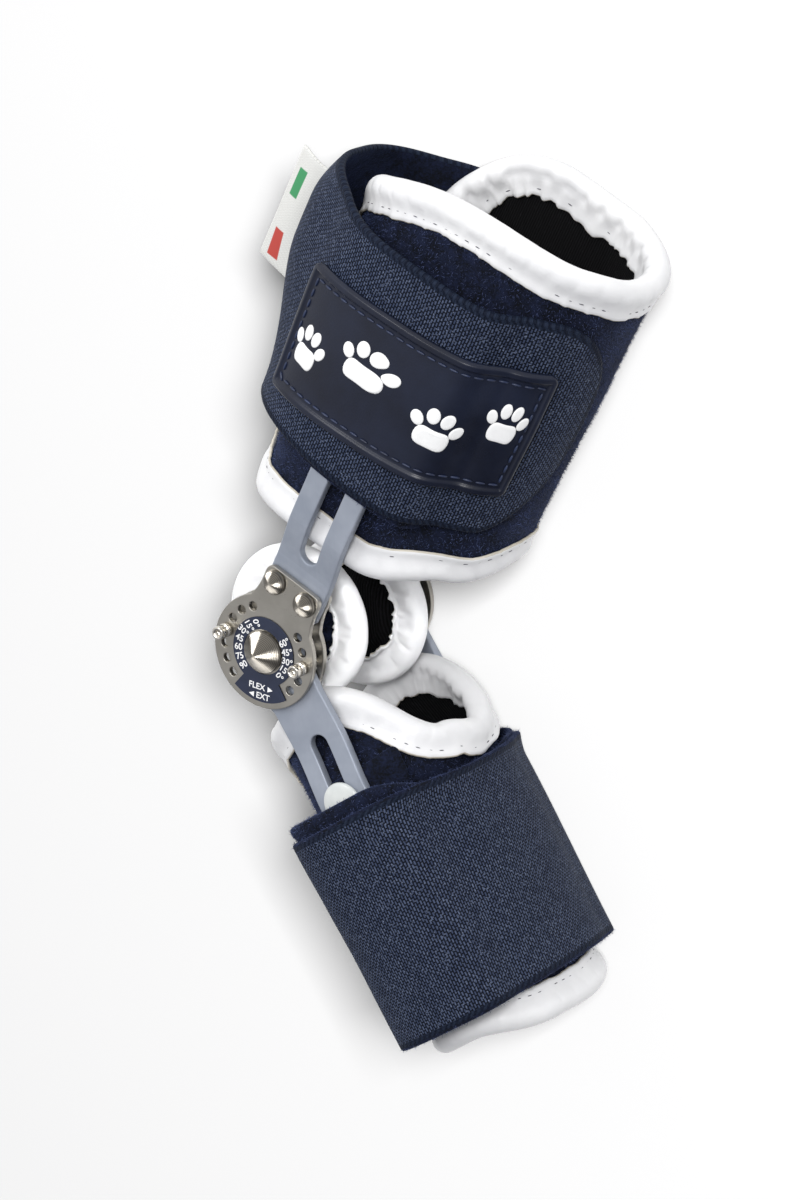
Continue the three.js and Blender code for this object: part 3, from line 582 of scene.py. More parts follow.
# frames along a panel's edge at even steps: point, outwards in the cloth's plane, and up
def panelFrames(half, panel, count):
    columns = spreadColumns(panel)
    cells = [columns[c][r] for c, r in rimLoops(columns, False)[0]]
    depth = -clothWall / 2
    spots = [onHalf(half, s, phi, depth) for phi, s in cells]
    lengths = [0.0]
    for i in range(len(cells)):
        lengths.append(lengths[-1] + (spots[(i + 1) % len(cells)] - spots[i]).length)
    middlePhi = (panel["from"] + panel["to"]) / 2
    middleS = (panel["rows"][0][1] + panel["rows"][0][2]) / 2
    points, ups, insides, i = [], [], [], 0
    for k in range(count):
        want = lengths[-1] * k / count
        while lengths[i + 1] < want:
            i += 1
        t = (want - lengths[i]) / max(lengths[i + 1] - lengths[i], 1e-9)
        (phiA, sA), (phiB, sB) = cells[i], cells[(i + 1) % len(cells)]
        phi, s = phiA + (phiB - phiA) * t, sA + (sB - sA) * t
        lengthwise = onHalf(half, s + 1, phi, depth) - onHalf(half, s - 1, phi, depth)
        around = onHalf(half, s, phi + 2, depth) - onHalf(half, s, phi - 2, depth)
        up = lengthwise.cross(around).normalized()
        point = onHalf(half, s, phi, depth)
        points.append(point)
        ups.append(up if up.dot(onHalf(half, s, phi, depth + 1) - point) >= 0 else -up)
        insides.append(onHalf(half, s + (middleS - s) * 0.1, phi + (middlePhi - phi) * 0.03, depth))
    frames = []
    for k, (point, up, inside) in enumerate(zip(points, ups, insides)):
        tangent = (points[(k + 1) % count] - points[k - 1]).normalized()
        away = tangent.cross(up).normalized()
        frames.append((point, away if away.dot(point - inside) >= 0 else -away, up))
    return frames


binding = {
    "bead": 3.5, "beadOut": 1.6, "slot": 1.55, "flange": 0.75, "flangeLength": 4.7,
    "padFlange": 3.5, "stitchOut": -2.7, "gather": 0.8, "waver": 0.85,
}


def bindingSection(length):
    height = binding["slot"] + binding["flange"]
    side = [(-length + 0.15, binding["slot"]), (-length - 0.1, binding["slot"] + 0.35),
            (-length + 0.25, height), (-length + 1.2, height + 0.05), (binding["stitchOut"], height - 0.12),
            (-1.5, height + 0.12)]
    bead = []
    for i in range(15):
        turn = math.radians(122 - 244 * i / 14)
        bead.append((binding["beadOut"] + binding["bead"] * math.cos(turn), binding["bead"] * math.sin(turn)))
    mirror = [(out, -rise) for out, rise in reversed(side)]
    return side + bead + mirror + [(0.2, -binding["slot"]), (0.2, binding["slot"])]


# sharp ridges where a slow noise crosses zero
def ridge(at, seed, width):
    return max(0.0, 1 - abs(noise.noise(Vector((at, seed, 0.0)))) / width)


# stuffed white edge; gathers fold the flanges and crease the bead beside them
def bindingPiece(name, frames, seed, innerGather, outerGather, length):
    section = bindingSection(length)
    ring = len(section)
    verts, uvs = [], []
    travelled = 0.0
    for i, (point, away, up) in enumerate(frames):
        travelled += (point - frames[i - 1][0]).length if i else 0.0
        for out, rise in section:
            side = seed + (5.0 if rise < 0 else 0.0)
            amount = innerGather if rise < 0 else outerGather
            slow = noise.noise(Vector((travelled * 0.13, side, 7.0)))
            fold = ridge(travelled * 0.17, side, 0.22)
            crease = ridge(travelled * 0.17, side + 2.0, 0.17)
            small = noise.noise(Vector((travelled * 0.6, side, 3.0)))
            onFlange = smooth(0.5, length, -out)
            onBead = smooth(-1.0, 0.6, out)
            reach = binding["waver"] * amount * (1.5 * slow + 0.9 * fold + 0.35 * small) * onFlange
            lift = binding["gather"] * amount * (fold + 0.5 * abs(small)) * smooth(-0.5, 2.5, -out)
            innerSide = 1 - smooth(0.5, binding["bead"] + 1.8, out)
            swell = 1 + 0.025 * slow - 0.32 * amount * crease * onBead * innerSide
            verts.append(point + away * ((out - binding["beadOut"]) * swell + binding["beadOut"] - reach)
                         + up * (rise * swell + math.copysign(lift, rise)))
            uvs.append((travelled, out))
    cutEdges = (0, 1, ring - 5, ring - 4)
    faces = ringFaces(0, len(frames), ring, closed=True)
    faceMats = [1 if n % ring in cutEdges else 0 for n in range(len(faces))]
    return buildPiece(name, verts, faces, [whiteVinyl, vinylEdge], faceMats, uvs)


# node trees: named inputs, and an end that realizes the instances and sets their material

def startTree(name, inputs):
    tree = bpy.data.node_groups.new(name, "GeometryNodeTree")
    for socket, kind in inputs.items():
        tree.interface.new_socket(name=socket, in_out="INPUT", socket_type="NodeSocket" + kind)
    tree.interface.new_socket(name="Result", in_out="OUTPUT", socket_type="NodeSocketGeometry")
    return tree, tree.nodes.new("NodeGroupInput").outputs


def endTree(tree, instances, material):
    real = addNode(tree, "GeometryNodeRealizeInstances", {"Geometry": instances})
    coloured = addNode(tree, "GeometryNodeSetMaterial", {"Geometry": real, "Material": material})
    addNode(tree, "NodeGroupOutput", {"Result": coloured})
    return tree


# runs a tree on a curve or mesh and keeps the result as a plain piece
def fromTree(name, data, tree, values):
    holder = addObject(name + "Source", data)
    modifier = holder.modifiers.new(tree.name, "NODES")
    modifier.node_group = tree
    for socket in tree.interface.items_tree:
        if socket.name in values:
            modifier[socket.identifier] = values[socket.name]
    return addObject(name, asMesh(name, holder))


# short threads along a path
def stitchTree():
    tree, given = startTree("stitchRun", {
        "Path": "Geometry", "Pitch": "Float", "Stitch Length": "Float", "Thread Radius": "Float",
        "Thread": "Material",
    })
    dots = addNode(tree, "GeometryNodeCurveToPoints", {
        "Curve": given["Path"], "Length": given["Pitch"],
    }, mode="LENGTH")
    ball = addNode(tree, "GeometryNodeMeshUVSphere", {"Segments": 6, "Rings": 5, "Radius": 1.0})
    rounded = addNode(tree, "GeometryNodeSetShadeSmooth", {"Geometry": ball})
    halfLength = addNode(tree, "Math", {0: given["Stitch Length"], 1: 0.5}, operation="MULTIPLY")
    size = addNode(tree, "CombineXYZ", {
        "X": given["Thread Radius"], "Y": given["Thread Radius"], "Z": halfLength,
    })
    placed = addNode(tree, "GeometryNodeInstanceOnPoints", {
        "Points": dots, "Instance": rounded, "Rotation": dots.outputs["Rotation"], "Scale": size,
    })
    return endTree(tree, placed, given["Thread"])


stitchRun = stitchTree()


# all the closed paths of one call become one mesh
def stitchPiece(name, paths, pitch, length, radius, thread):
    curve = bpy.data.curves.new(name + "Path", "CURVE")
    curve.dimensions = "3D"
    for path in paths:
        addSpline(curve, path)
    return fromTree(name, curve, stitchRun, {
        "Pitch": pitch * mm, "Stitch Length": length * mm, "Thread Radius": radius * mm, "Thread": thread,
    })


def offsetPath(frames, out, rise):
    return [point + away * out + up * rise for point, away, up in frames]


# padded cuffs, and the stuffed edges sewn round them

upperPanel = {
    "from": -81, "to": 226, "corner": 16, "cornerSteps": 8, "reach": 33, "columns": 110, "steps": 44,
    # phi, low, high
    "rows": [(-81, 34, 121), (10, 38.5, 137.5), (52, 47.5, 136), (95, 53, 133.5), (180, 45, 135),
             (226, 41, 124)],
}
lowerPanel = {
    "from": -80, "to": 238, "corner": 10, "cornerSteps": 8, "reach": 28, "columns": 100, "steps": 40,
    "rows": [(-80, 33, 112), (-40, 23, 111), (0, 19.5, 110.5), (75, 43, 115.5), (95, 45.5, 116),
             (180, 22.5, 111), (238, 30, 112)],
}


def cuff(name, half, panel, body, node):
    def outer(phi, s):
        return rumple(half, s, phi)

    def inner(phi, s):
        return -clothWall + 0.5 * rumple(half, s, phi)

    piece = clothPiece(name, half, spreadColumns(panel), inner, outer, [velour, velour, ribbedLining])[0]
    dress(piece, body, "cuff_cloth", node)


cuff("upper_cuff_pad", upperHalf, upperPanel, "forearm_half", "upper_cuff")
cuff("lower_cuff_pad", lowerHalf, lowerPanel, "paw_half", "lower_cuff")


# gathers of the inner and the outer flange, and how far the flanges reach
cuffEdge = (1.0, 0.3, binding["flangeLength"])
padEdge = (0.9, 0.6, binding["padFlange"])


def boundEdge(name, frames, seed, style, body, node):
    piece = dress(bindingPiece(name, frames, seed, *style), body, "binding", node)


upperFrames = panelFrames(upperHalf, upperPanel, 760)
lowerFrames = panelFrames(lowerHalf, lowerPanel, 680)
boundEdge("upper_cuff_binding", upperFrames, 11.0, cuffEdge, "forearm_half", "upper_binding")
boundEdge("lower_cuff_binding", lowerFrames, 23.0, cuffEdge, "paw_half", "lower_binding")
print("cuffs and bindings made")


# straps, band and pockets: lifts over the cuff, with a rise where they cross a bar

def clothSheet(name, half, columns, under, over, mats, held, restsOn, body, slot, *nodes, **extra):
    piece, flat, area = clothPiece(name, half, columns, under, over, mats, **extra)
    dress(piece, body, slot, *nodes)


upperPocket = {
    "halfTurn": 32, "low": 56, "high": 118, "thick": 0.9,
    "lift": [(-32, 0.1), (-17, 4.3), (17, 4.3), (32, 0.1)],  # phi, lift
}


def barPocket(side, turn):
    def under(phi, s):
        return eased(upperPocket["lift"], phi - turn) + rumple(upperHalf, s, phi)

    def over(phi, s):
        return under(phi, s) + upperPocket["thick"]

    panel = {
        "from": turn - upperPocket["halfTurn"], "to": turn + upperPocket["halfTurn"], "corner": 5,
        "cornerSteps": 5, "reach": 33, "columns": 40, "steps": 36,
        "rows": [(turn, upperPocket["low"], upperPocket["high"])],
    }
    clothSheet(f"upper_pocket_cloth_{side}", upperHalf, spreadColumns(panel), under, over, [velour] * 3,
               "laid", "upper_cuff_pad", "forearm_half", "velour", f"upper_pocket_{side}")


barPocket("lateral", 0)
barPocket("medial", 180)

upperStrap = {
    "thick": 1.6, "closer": 0.25,
    "slack": 8.0, "slackAlong": (58, 98, 110, 138), "slackAround": (-130, -92, -86, -46),
    "lift": [(-214, 1.7), (-197, 6.1), (-163, 6.1), (-146, 3), (-100, 6), (-60, 6), (-17, 6.1), (17, 6.1),
             (36, 1.7), (60, 0.5)],  # phi, lift
    "panel": {
        "from": -214, "to": 84, "corner": 22, "cornerSteps": 12, "reach": 36, "columns": 150, "steps": 40,
        # phi, low, high
        "rows": [(-214, 52, 112), (-150, 52, 123.5), (-105, 55, 121.5), (-70, 58, 123.5), (-28, 59, 122),
                 (5, 58.5, 123), (50, 62, 126), (84, 68, 126)],
    },
}


# it stands off the cuff at the back, where the two sides part
def strapUnder(phi, s):
    slack = upperStrap["slack"] * window(upperStrap["slackAlong"], s) * window(upperStrap["slackAround"], phi)
    return eased(upperStrap["lift"], phi) + slack + rumple(upperHalf, s, phi)


def strapInner(phi, s):
    return strapUnder(phi, s) - upperStrap["closer"]


def strapOver(phi, s):
    return strapUnder(phi, s) + upperStrap["thick"]


clothSheet("upper_strap_tape", upperHalf, spreadColumns(upperStrap["panel"]), strapInner, strapOver,
           [hookTape, hookTape, velour], "stretched", "upper_cuff_pad",
           "forearm_half", "hook_tape", "upper_strap")

# a loose corner of the wrap shows between the bead and the band
lowerFlap = {
    "thick": 1.0, "lift": 0.15,
    "panel": {"from": -16, "to": 40, "corner": 1.5, "cornerSteps": 4, "reach": 25, "columns": 40, "steps": 24,
              "rows": [(-16, 39, 62), (10, 39, 62), (40, 38, 62)]},  # phi, low, high
}


def flapUnder(phi, s):
    return lowerFlap["lift"] + rumple(lowerHalf, s, phi)


def flapOver(phi, s):
    return flapUnder(phi, s) + lowerFlap["thick"]


clothSheet("lower_flap_cloth", lowerHalf, spreadColumns(lowerFlap["panel"]), flapUnder, flapOver,
           [velour] * 3, "laid", "lower_cuff_pad", "paw_half", "velour")

lowerBand = {
    "low": [(-180, 46), (-90, 45), (15, 45), (55, 50.5), (90, 53), (130, 50), (180, 46)],  # phi, low
    "high": 108.6, "thick": 1.4, "columns": 150, "steps": 40,
    "roll": 0.9, "rollAlong": (1.4, 3.8), "rollAround": (-110, -80, 25, 50),
    "lift": [(-180, 4.7), (-150, 4.7), (-126, 2), (-56, 2), (-28, 6.9), (28, 6.9), (56, 2), (72, 1.7),
             (108, 1.7), (126, 2), (150, 4.7), (180, 4.7)],  # phi, lift
}


def bandUnder(phi, s):
    return eased(lowerBand["lift"], wrapped(phi)) + rumple(lowerHalf, s, phi)


# its outer edge is rolled, thicker than the rest
def bandOver(phi, s):
    low = eased(lowerBand["low"], wrapped(phi))
    roll = lowerBand["roll"] * (1 - smooth(*lowerBand["rollAlong"], s - low))
    return bandUnder(phi, s) + lowerBand["thick"] + roll * window(lowerBand["rollAround"], wrapped(phi))


bandColumns = []
for c in range(lowerBand["columns"]):
    phi = -180 + 360 * c / lowerBand["columns"]
    low = eased(lowerBand["low"], phi)
    reach = lowerBand["high"] - low
    bandColumns.append([(phi, low + reach * r / lowerBand["steps"]) for r in range(lowerBand["steps"] + 1)])
clothSheet("lower_band_cloth", lowerHalf, bandColumns, bandUnder, bandOver, [velour] * 3,
           "stretched", "lower_cuff_pad", "paw_half", "velour", "lower_band", loop=True)

# the woven tape starts a little after the strap's velour end
lowerStrap = {
    "thick": 1.6, "closer": 0.4, "gap": 0.5, "tape": 0.5, "tapeFrom": -53.2,
    "panel": {
        "from": -57, "to": 232, "corner": 1.5, "cornerSteps": 4, "reach": 34, "columns": 150, "steps": 40,
        "rows": [(-57, 49, 109), (10, 49, 109), (90, 52, 109), (180, 50, 109), (232, 49, 109)],
    },
}


def lowerUnder(phi, s):
    return bandOver(phi, s) + lowerStrap["gap"] - lowerStrap["closer"]


def lowerOver(phi, s):
    tape = lowerStrap["tape"] * smooth(lowerStrap["tapeFrom"] - 0.4, lowerStrap["tapeFrom"] + 0.3, phi)
    return bandOver(phi, s) + lowerStrap["gap"] + lowerStrap["thick"] - lowerStrap["tape"] + tape


clothSheet("lower_strap_tape", lowerHalf, spreadColumns(lowerStrap["panel"]), lowerUnder, lowerOver,
           [frayedTape, velour, velour], "stretched", "lower_band_cloth",
           "paw_half", "hook_tape", "lower_strap",
           faceMat=lambda phi: 1 if phi < lowerStrap["tapeFrom"] else 0)
print("straps made")


# rubber badge with a raised border, sewn down, and a row of paw prints

badge = {
    "from": -42, "to": 56, "reach": 42, "height": 38, "rowStart": 86.3, "rowEnd": 94.4, "corner": 3.5,
    "thick": 1.0, "border": 0.75, "borderWidth": 1.9, "seat": 0.25, "stitchInset": 3.7,
}
badgeDegree = math.radians(badge["reach"])


def badgeMiddle(phi):
    share = (phi - badge["from"]) / (badge["to"] - badge["from"])
    return badge["rowStart"] + (badge["rowEnd"] - badge["rowStart"]) * share


# even steps drawn closer together at both ends, where the border is
def crowded(i, count, amount):
    return i / count - amount * math.sin(2 * math.pi * i / count)


def badgeColumns(columns, steps):
    result = []
    for c in range(columns + 1):
        phi = badge["from"] + (badge["to"] - badge["from"]) * crowded(c, columns, 0.06)
        reach = min(phi - badge["from"], badge["to"] - phi) * badgeDegree
        tall = badge["height"] / 2 - cornerInset(badge["corner"], reach)
        middle = badgeMiddle(phi)
        result.append([(phi, middle + tall * (2 * crowded(r, steps, 0.07) - 1)) for r in range(steps + 1)])
    return result


def badgeInset(phi, s):
    ends = min(phi - badge["from"], badge["to"] - phi) * badgeDegree
    return min(ends, badge["height"] / 2 - abs(s - badgeMiddle(phi)))


def badgeUnder(phi, s):
    return strapOver(phi, s) + badge["seat"]


def badgeOver(phi, s):
    edge = badgeInset(phi, s)
    border = smooth(-0.2, 0.5, edge) * (1 - smooth(badge["borderWidth"], badge["borderWidth"] + 0.5, edge))
    return badgeUnder(phi, s) + badge["thick"] * smooth(-0.6, 0.3, edge) + badge["border"] * border


badgePlate = clothPiece("strap_badge_plate", upperHalf, badgeColumns(130, 70), badgeUnder, badgeOver,
                        [badgeRubber] * 3, rimRound=0.4)[0]
dress(badgePlate, "forearm_half", "badge_rubber", "strap_badge")

pawPrint = {
    "spots": [(-25.5, -3.0, -4), (-8.5, 3.0, -4), (8.5, -3.0, -4), (25.5, 3.0, -4)],  # along, up, turn
    "height": 0.32,
    # each pad of a print, the main one first: along, up, half width, half height, turn
    "pads": [(0, -2.4, 4.3, 3.3, 0), (-4.9, 1.5, 1.5, 2.1, 24), (-1.8, 4.1, 1.6, 2.3, 8),
             (1.8, 4.1, 1.6, 2.3, -8), (4.9, 1.5, 1.5, 2.1, -24)],
    "rings": [(1.0, -0.02), (0.99, 0.6), (0.9, 0.9), (0.6, 1.0)],  # share of the size, share of the height
    "around": 28, "lobes": 0.55,
}


def turned(x, y, degrees):
    c, s = math.cos(math.radians(degrees)), math.sin(math.radians(degrees))
    return x * c - y * s, x * s + y * c


def onBadge(along, up, lift):
    phi = (badge["from"] + badge["to"]) / 2 + along / badgeDegree
    s = badgeMiddle(phi) + up
    return onHalf(upperHalf, s, phi, badgeUnder(phi, s) + badge["thick"] + lift)


def pawPrints(name):
    verts, faces = [], []
    rings, count = pawPrint["rings"], pawPrint["around"]
    for along, up, lean in pawPrint["spots"]:
        for index, (x, y, wide, tall, turn) in enumerate(pawPrint["pads"]):
            base = len(verts)
            for share, rise in rings:
                for i in range(count):
                    angle = 2 * math.pi * i / count
                    px, py = wide * share * math.cos(angle), tall * share * math.sin(angle)
                    if index == 0:  # main pad: broad below with three soft lobes
                        py -= pawPrint["lobes"] * share * math.cos(3 * angle + math.pi / 2)
                    px, py = turned(px, py, turn)
                    px, py = turned(px + x, py + y, lean)
                    verts.append(onBadge(along + px, up + py, rise * pawPrint["height"]))
            faces += ringFaces(base, len(rings), count)
            faces.append(tuple(base + (len(rings) - 1) * count + i for i in range(count)))
            faces.append(tuple(base + i for i in reversed(range(count))))
    return buildPiece(name, verts, faces, [whitePrint])


prints = pawPrints("badge_prints")
tidyShell(prints.data)
dress(prints, "forearm_half", "badge_rubber")

inset = badge["stitchInset"]
halfLong = (badge["to"] - badge["from"]) / 2 * badgeDegree - inset
halfTall = badge["height"] / 2 - inset
corners = [(-halfLong, -halfTall), (halfLong, -halfTall), (halfLong, halfTall), (-halfLong, halfTall)]
stitchPath = []
for (xA, yA), (xB, yB) in zip(corners, corners[1:] + corners[:1]):
    for i in range(60):
        stitchPath.append(onBadge(xA + (xB - xA) * i / 60, yA + (yB - yA) * i / 60, 0.12))
badgeSeam = {"pitch": 3.3, "length": 2.6, "radius": 0.36, "thread": navyThread}
badgeStitches = stitchPiece("badge_stitches", [stitchPath], **badgeSeam)
dress(badgeStitches, "forearm_half", "badge_rubber")


# folded woven tag at the back edge of the strap

tag = {
    "phi": -88, "low": 80, "high": 113, "reach": 9.5, "skew": 2.0, "thick": 1.1, "columns": 24, "steps": 14,
    "seat": 0.2, "bend": 1.4, "foldAllowance": 1.3, "footLevel": 96,
}


def sideTag():
    across = upperHalf["across"]
    seat = strapOver(tag["phi"], tag["footLevel"]) + tag["seat"]
    foot = onHalf(upperHalf, (tag["low"] + tag["high"]) / 2, tag["phi"], seat)
    fold = foot.dot(across) - tag["reach"]
    outer, inner, uvGrid, edgeGrid = [], [], [], []
    for c in range(tag["columns"] + 1):
        level = tag["low"] + (tag["high"] - tag["low"]) * c / tag["columns"]
        seat = strapOver(tag["phi"], level) + tag["seat"]
        seam = onHalf(upperHalf, level, tag["phi"], seat).dot(across)
        for grid in (outer, inner, uvGrid, edgeGrid):
            grid.append([])
        for r in range(tag["steps"] + 1):
            share = r / tag["steps"]
            s = level + tag["skew"] * share
            bend = tag["bend"] * math.sin(math.pi * share) * math.sin(2.2 * c / tag["columns"] + 0.4)
            spot = inPlane(upperHalf, s, seam + (fold - seam) * share, foot.z + bend)
            thick = Vector((0, 0, tag["thick"] / 2 * (1 - 0.25 * math.sin(math.pi * share))))
            outer[c].append(spot + thick)
            inner[c].append(spot - thick)
            uvGrid[c].append((s - tag["low"], tag["reach"] * share))
            edgeGrid[c].append(min(share, 1 - share))
    return shellPiece("side_tag_tape", outer, inner, uvGrid, edgeGrid, [wovenTag] * 3, rimRound=0.9)


tagPiece = dress(sideTag(), "forearm_half", "tag_weave", "side_tag")
print("badge and tag made")


# sheet metal: outline with holes, pushed up and bevelled, edges in a brighter finish

hinge = {
    "plateRadius": 15.8, "plateThick": 1.6, "plateBevel": 0.22, "neckTurn": 40, "neckBend": (14.6, 9.2),
    "tabReach": 23.4, "tabLength": 5.5, "tabHalf": 9.0, "tabCorner": 2.2,
    "innerZ": 22.4, "outerZ": 27.1, "faceZ": 28.7, "holeCircle": 12.4, "holeRadius": 1.25,
    "flex": (7, 99.6, 18.65, 3), "ext": (5, 23.0, -19.3, 2),  # count, first turn, step, hole with the screw
    "pivotHole": 3.3, "rivetReach": 19.6, "rivetSpread": 5.2, "rivetHole": 1.8,
}
sides = (("lateral", 1), ("medial", -1))  # name, way outwards
pivotSpot = Vector((0, 0, 0))


def polar(radius, degrees):
    return Vector((radius * math.cos(math.radians(degrees)), radius * math.sin(math.radians(degrees)), 0))


def circle(centre, radius, count=24):
    return [centre + polar(radius, 360 * i / count) for i in range(count)]


def sheetMetal(name, outline, holes, thick, bevel, mats):
    curve = bpy.data.curves.new(name, "CURVE")
    curve.dimensions = "2D"
    curve.fill_mode = "BOTH"
    curve.extrude = (thick / 2 - bevel) * mm
    curve.bevel_depth = bevel * mm
    curve.bevel_resolution = 2
    curve.offset = -bevel * mm
    for ring in [outline, *holes]:
        addSpline(curve, ring)
    mesh = asMesh(name, addObject(name + "Outline", curve))
    with editing(mesh) as shell:
        bmesh.ops.remove_doubles(shell, verts=shell.verts, dist=1e-6)
        bmesh.ops.recalc_face_normals(shell, faces=shell.faces)
        for face in shell.faces:
            face.material_index = 0 if abs(face.normal.z) > 0.95 else 1
            face.smooth = abs(face.normal.z) < 0.95
    mesh.materials.clear()
    for mat in mats:
        mesh.materials.append(mat)
    return addObject(name, mesh)


def lifted(piece, z):
    piece.data.transform(Matrix.Translation((0, 0, z * mm)))
    return piece


def roundedEnd(half, end, halfWide, corner, sign):
    spots = []
    for i in range(7):
        turn = math.radians(90 * i / 6)
        spots.append(inPlane(half, end - corner + corner * math.sin(turn),
                             sign * (halfWide - corner + corner * math.cos(turn))))
    return spots


# a disc with a hollow neck on each side of its square tab
def plateOutline():
    aim, radius, neckTurn = upperHalf["aim"], hinge["plateRadius"], hinge["neckTurn"]
    disc = [polar(radius, aim + turn) for turn in range(neckTurn, 361 - neckTurn, 4)]
    neck = polar(radius, aim - neckTurn)
    bend = inPlane(upperHalf, *hinge["neckBend"])
    tab = inPlane(upperHalf, hinge["tabReach"] - hinge["tabLength"], hinge["tabHalf"])
    side = []
    for i in range(1, 6):
        t = i / 5
        side.append(neck * (1 - t) ** 2 + bend * 2 * t * (1 - t) + tab * t * t)
    side += roundedEnd(upperHalf, hinge["tabReach"], hinge["tabHalf"], hinge["tabCorner"], 1)
    mirrored = []
    for spot in reversed(side):
        along, across = spot.dot(upperHalf["axis"]), spot.dot(upperHalf["across"])
        mirrored.append(inPlane(upperHalf, along, -across))
    return disc + side + mirrored


def stopTurns(row):
    count, first, step = row[:3]
    return [first + step * i for i in range(count)]


stops = stopTurns(hinge["flex"]), stopTurns(hinge["ext"])
screwTurns = [turns[hinge[key][3]] for turns, key in zip(stops, ("flex", "ext"))]
rivetSpots = [inPlane(upperHalf, hinge["rivetReach"], sign * hinge["rivetSpread"]) for sign in (-1, 1)]
pivotHole = circle(pivotSpot, hinge["pivotHole"], 32)
rivetHoles = [circle(spot, hinge["rivetHole"]) for spot in rivetSpots]
for side, outwards in sides:
    for kind, turns in (("outer", stops[0] + stops[1]), ("inner", screwTurns)):
        holes = [circle(polar(hinge["holeCircle"], turn), hinge["holeRadius"]) for turn in turns]
        plate = sheetMetal(f"plate_{kind}_{side}", plateOutline(), [pivotHole, *rivetHoles, *holes],
                           hinge["plateThick"], hinge["plateBevel"], [plateSteel, plateEdge])
        lifted(plate, midZ + outwards * (hinge[kind + "Z"] + hinge["plateThick"] / 2))
        dress(plate, "forearm_half", "plate_steel", f"hinge_plate_{kind}_{side}")
print("hinge plates made")


# bars: flat outline with a slot, then bent outwards along its length

upperBar = {
    "width": 18, "start": 15.2, "end": 80, "slot": (32, 66), "thick": 2.5, "bevel": 0.45, "corner": 4,
    "bends": [(12, 24.3), (25, 24.3), (41, 26.6), (82, 27.2)],  # s, height off the middle plane
}
lowerBar = {
    "width": 17, "end": 66, "slot": (28.5, 55), "thick": 2.5, "bevel": 0.45, "corner": 4,
    "head": 10.4, "lug": 14.0, "neck": 15.5, "span": 75,
    "bends": [(-15, 24.3), (26, 24.3), (46, 26.5), (68, 26.5)],
}
slotHalf = 2.8


def slotRing(half, low, high):
    ring = []
    for centre, start in ((high, 0), (low, 180)):
        for i in range(13):
            turn = math.radians(start + 15 * i)
            ring.append(inPlane(half, centre + slotHalf * math.sin(turn), slotHalf * math.cos(turn)))
    return ring


def upperBarOutline():
    wide = upperBar["width"] / 2
    outline = [inPlane(upperHalf, upperBar["start"], -wide), inPlane(upperHalf, upperBar["start"], wide)]
    outline += roundedEnd(upperHalf, upperBar["end"], wide, upperBar["corner"], 1)
    return outline + roundedEnd(upperHalf, upperBar["end"], wide, upperBar["corner"], -1)[::-1]


# the round head carries two lugs that meet the stop screws at the ends of the swing
def lowerBarOutline():
    wide, aim = lowerBar["width"] / 2, lowerHalf["aim"]
    reach = math.degrees(hinge["holeRadius"] / hinge["holeCircle"])
    front = screwTurns[1] - aim - reach
    back = screwTurns[0] - 360 - (aim - lowerBar["span"]) + reach
    outline = [polar(lowerBar["head"], aim + front + (360 + back - front) * i / 40) for i in range(41)]
    outline += [polar(lowerBar["lug"], aim + back), polar(lowerBar["lug"], aim + back * 0.75)]
    outline += [inPlane(lowerHalf, lowerBar["neck"], -wide)]
    outline += roundedEnd(lowerHalf, lowerBar["end"], wide, lowerBar["corner"], -1)
    outline += roundedEnd(lowerHalf, lowerBar["end"], wide, lowerBar["corner"], 1)[::-1]
    return outline + [inPlane(lowerHalf, lowerBar["neck"], wide), polar(lowerBar["lug"], aim + front)]


def bentBar(name, half, bar, outline, holes, outwards):
    piece = sheetMetal(name, outline, holes, bar["thick"], bar["bevel"], [barAlloy, barEdge])
    low, high = bar["bends"][1][0], bar["bends"][2][0]
    with editing(piece.data) as shell:
        for i in range(9):
            everything = shell.verts[:] + shell.edges[:] + shell.faces[:]
            cut = half["axis"] * (low + (high - low) * i / 8) * mm
            bmesh.ops.bisect_plane(shell, geom=everything, dist=1e-7, plane_co=cut, plane_no=half["axis"])
        for vert in shell.verts:
            s = vert.co.dot(half["axis"]) / mm
            lift = eased(bar["bends"], s) + bar["thick"] / 2
            vert.co.z += (midZ + outwards * lift) * mm
    return piece


for side, outwards in sides:
    piece = bentBar(f"bar_upper_{side}", upperHalf, upperBar, upperBarOutline(),
                    [slotRing(upperHalf, *upperBar["slot"]), *rivetHoles], outwards)
    dress(piece, "forearm_half", "bar_alloy", f"upper_bar_{side}")
    piece = bentBar(f"bar_lower_{side}", lowerHalf, lowerBar, lowerBarOutline(),
                    [slotRing(lowerHalf, *lowerBar["slot"]), pivotHole], outwards)
    dress(piece, "paw_half", "bar_alloy", f"lower_bar_{side}")
print("bars made")


# turned pieces: radius and height outwards of the middle plane

def lathe(name, profile, mats, segments=48, faceMat=None, spot=pivotSpot, outwards=1, wrap=None):
    verts, uvs = [], []
    for radius, z in profile:
        for i in range(segments):
            angle = 360 * i / segments
            reach = wrap(radius, angle) if wrap else radius
            point = spot + polar(max(reach, 0.0), angle)
            point.z = midZ + outwards * z
            verts.append(point)
            uvs.append((point.x, point.y))
    faces = ringFaces(0, len(profile), segments)
    faceMats = [faceMat(n // segments) if faceMat else 0 for n in range(len(faces))]
    piece = buildPiece(name, verts, faces, mats, faceMats, uvs)
    with editing(piece.data) as shell:
        bmesh.ops.remove_doubles(shell, verts=shell.verts, dist=1e-6)
        bmesh.ops.recalc_face_normals(shell, faces=shell.faces)
    return piece


faceZ, innerZ = hinge["faceZ"], hinge["innerZ"]
footZ = innerZ - 1.2


def raised(base, profile):
    return [(radius, base + rise) for radius, rise in profile]


# a foot under the inner plate, then a shank up to the head
def shank(radius, wide):
    base = raised(footZ, [(0, 0), (wide - 0.2, 0), (wide, 0.2)])
    return base + raised(innerZ, [(wide, -0.25), (radius, -0.25)])


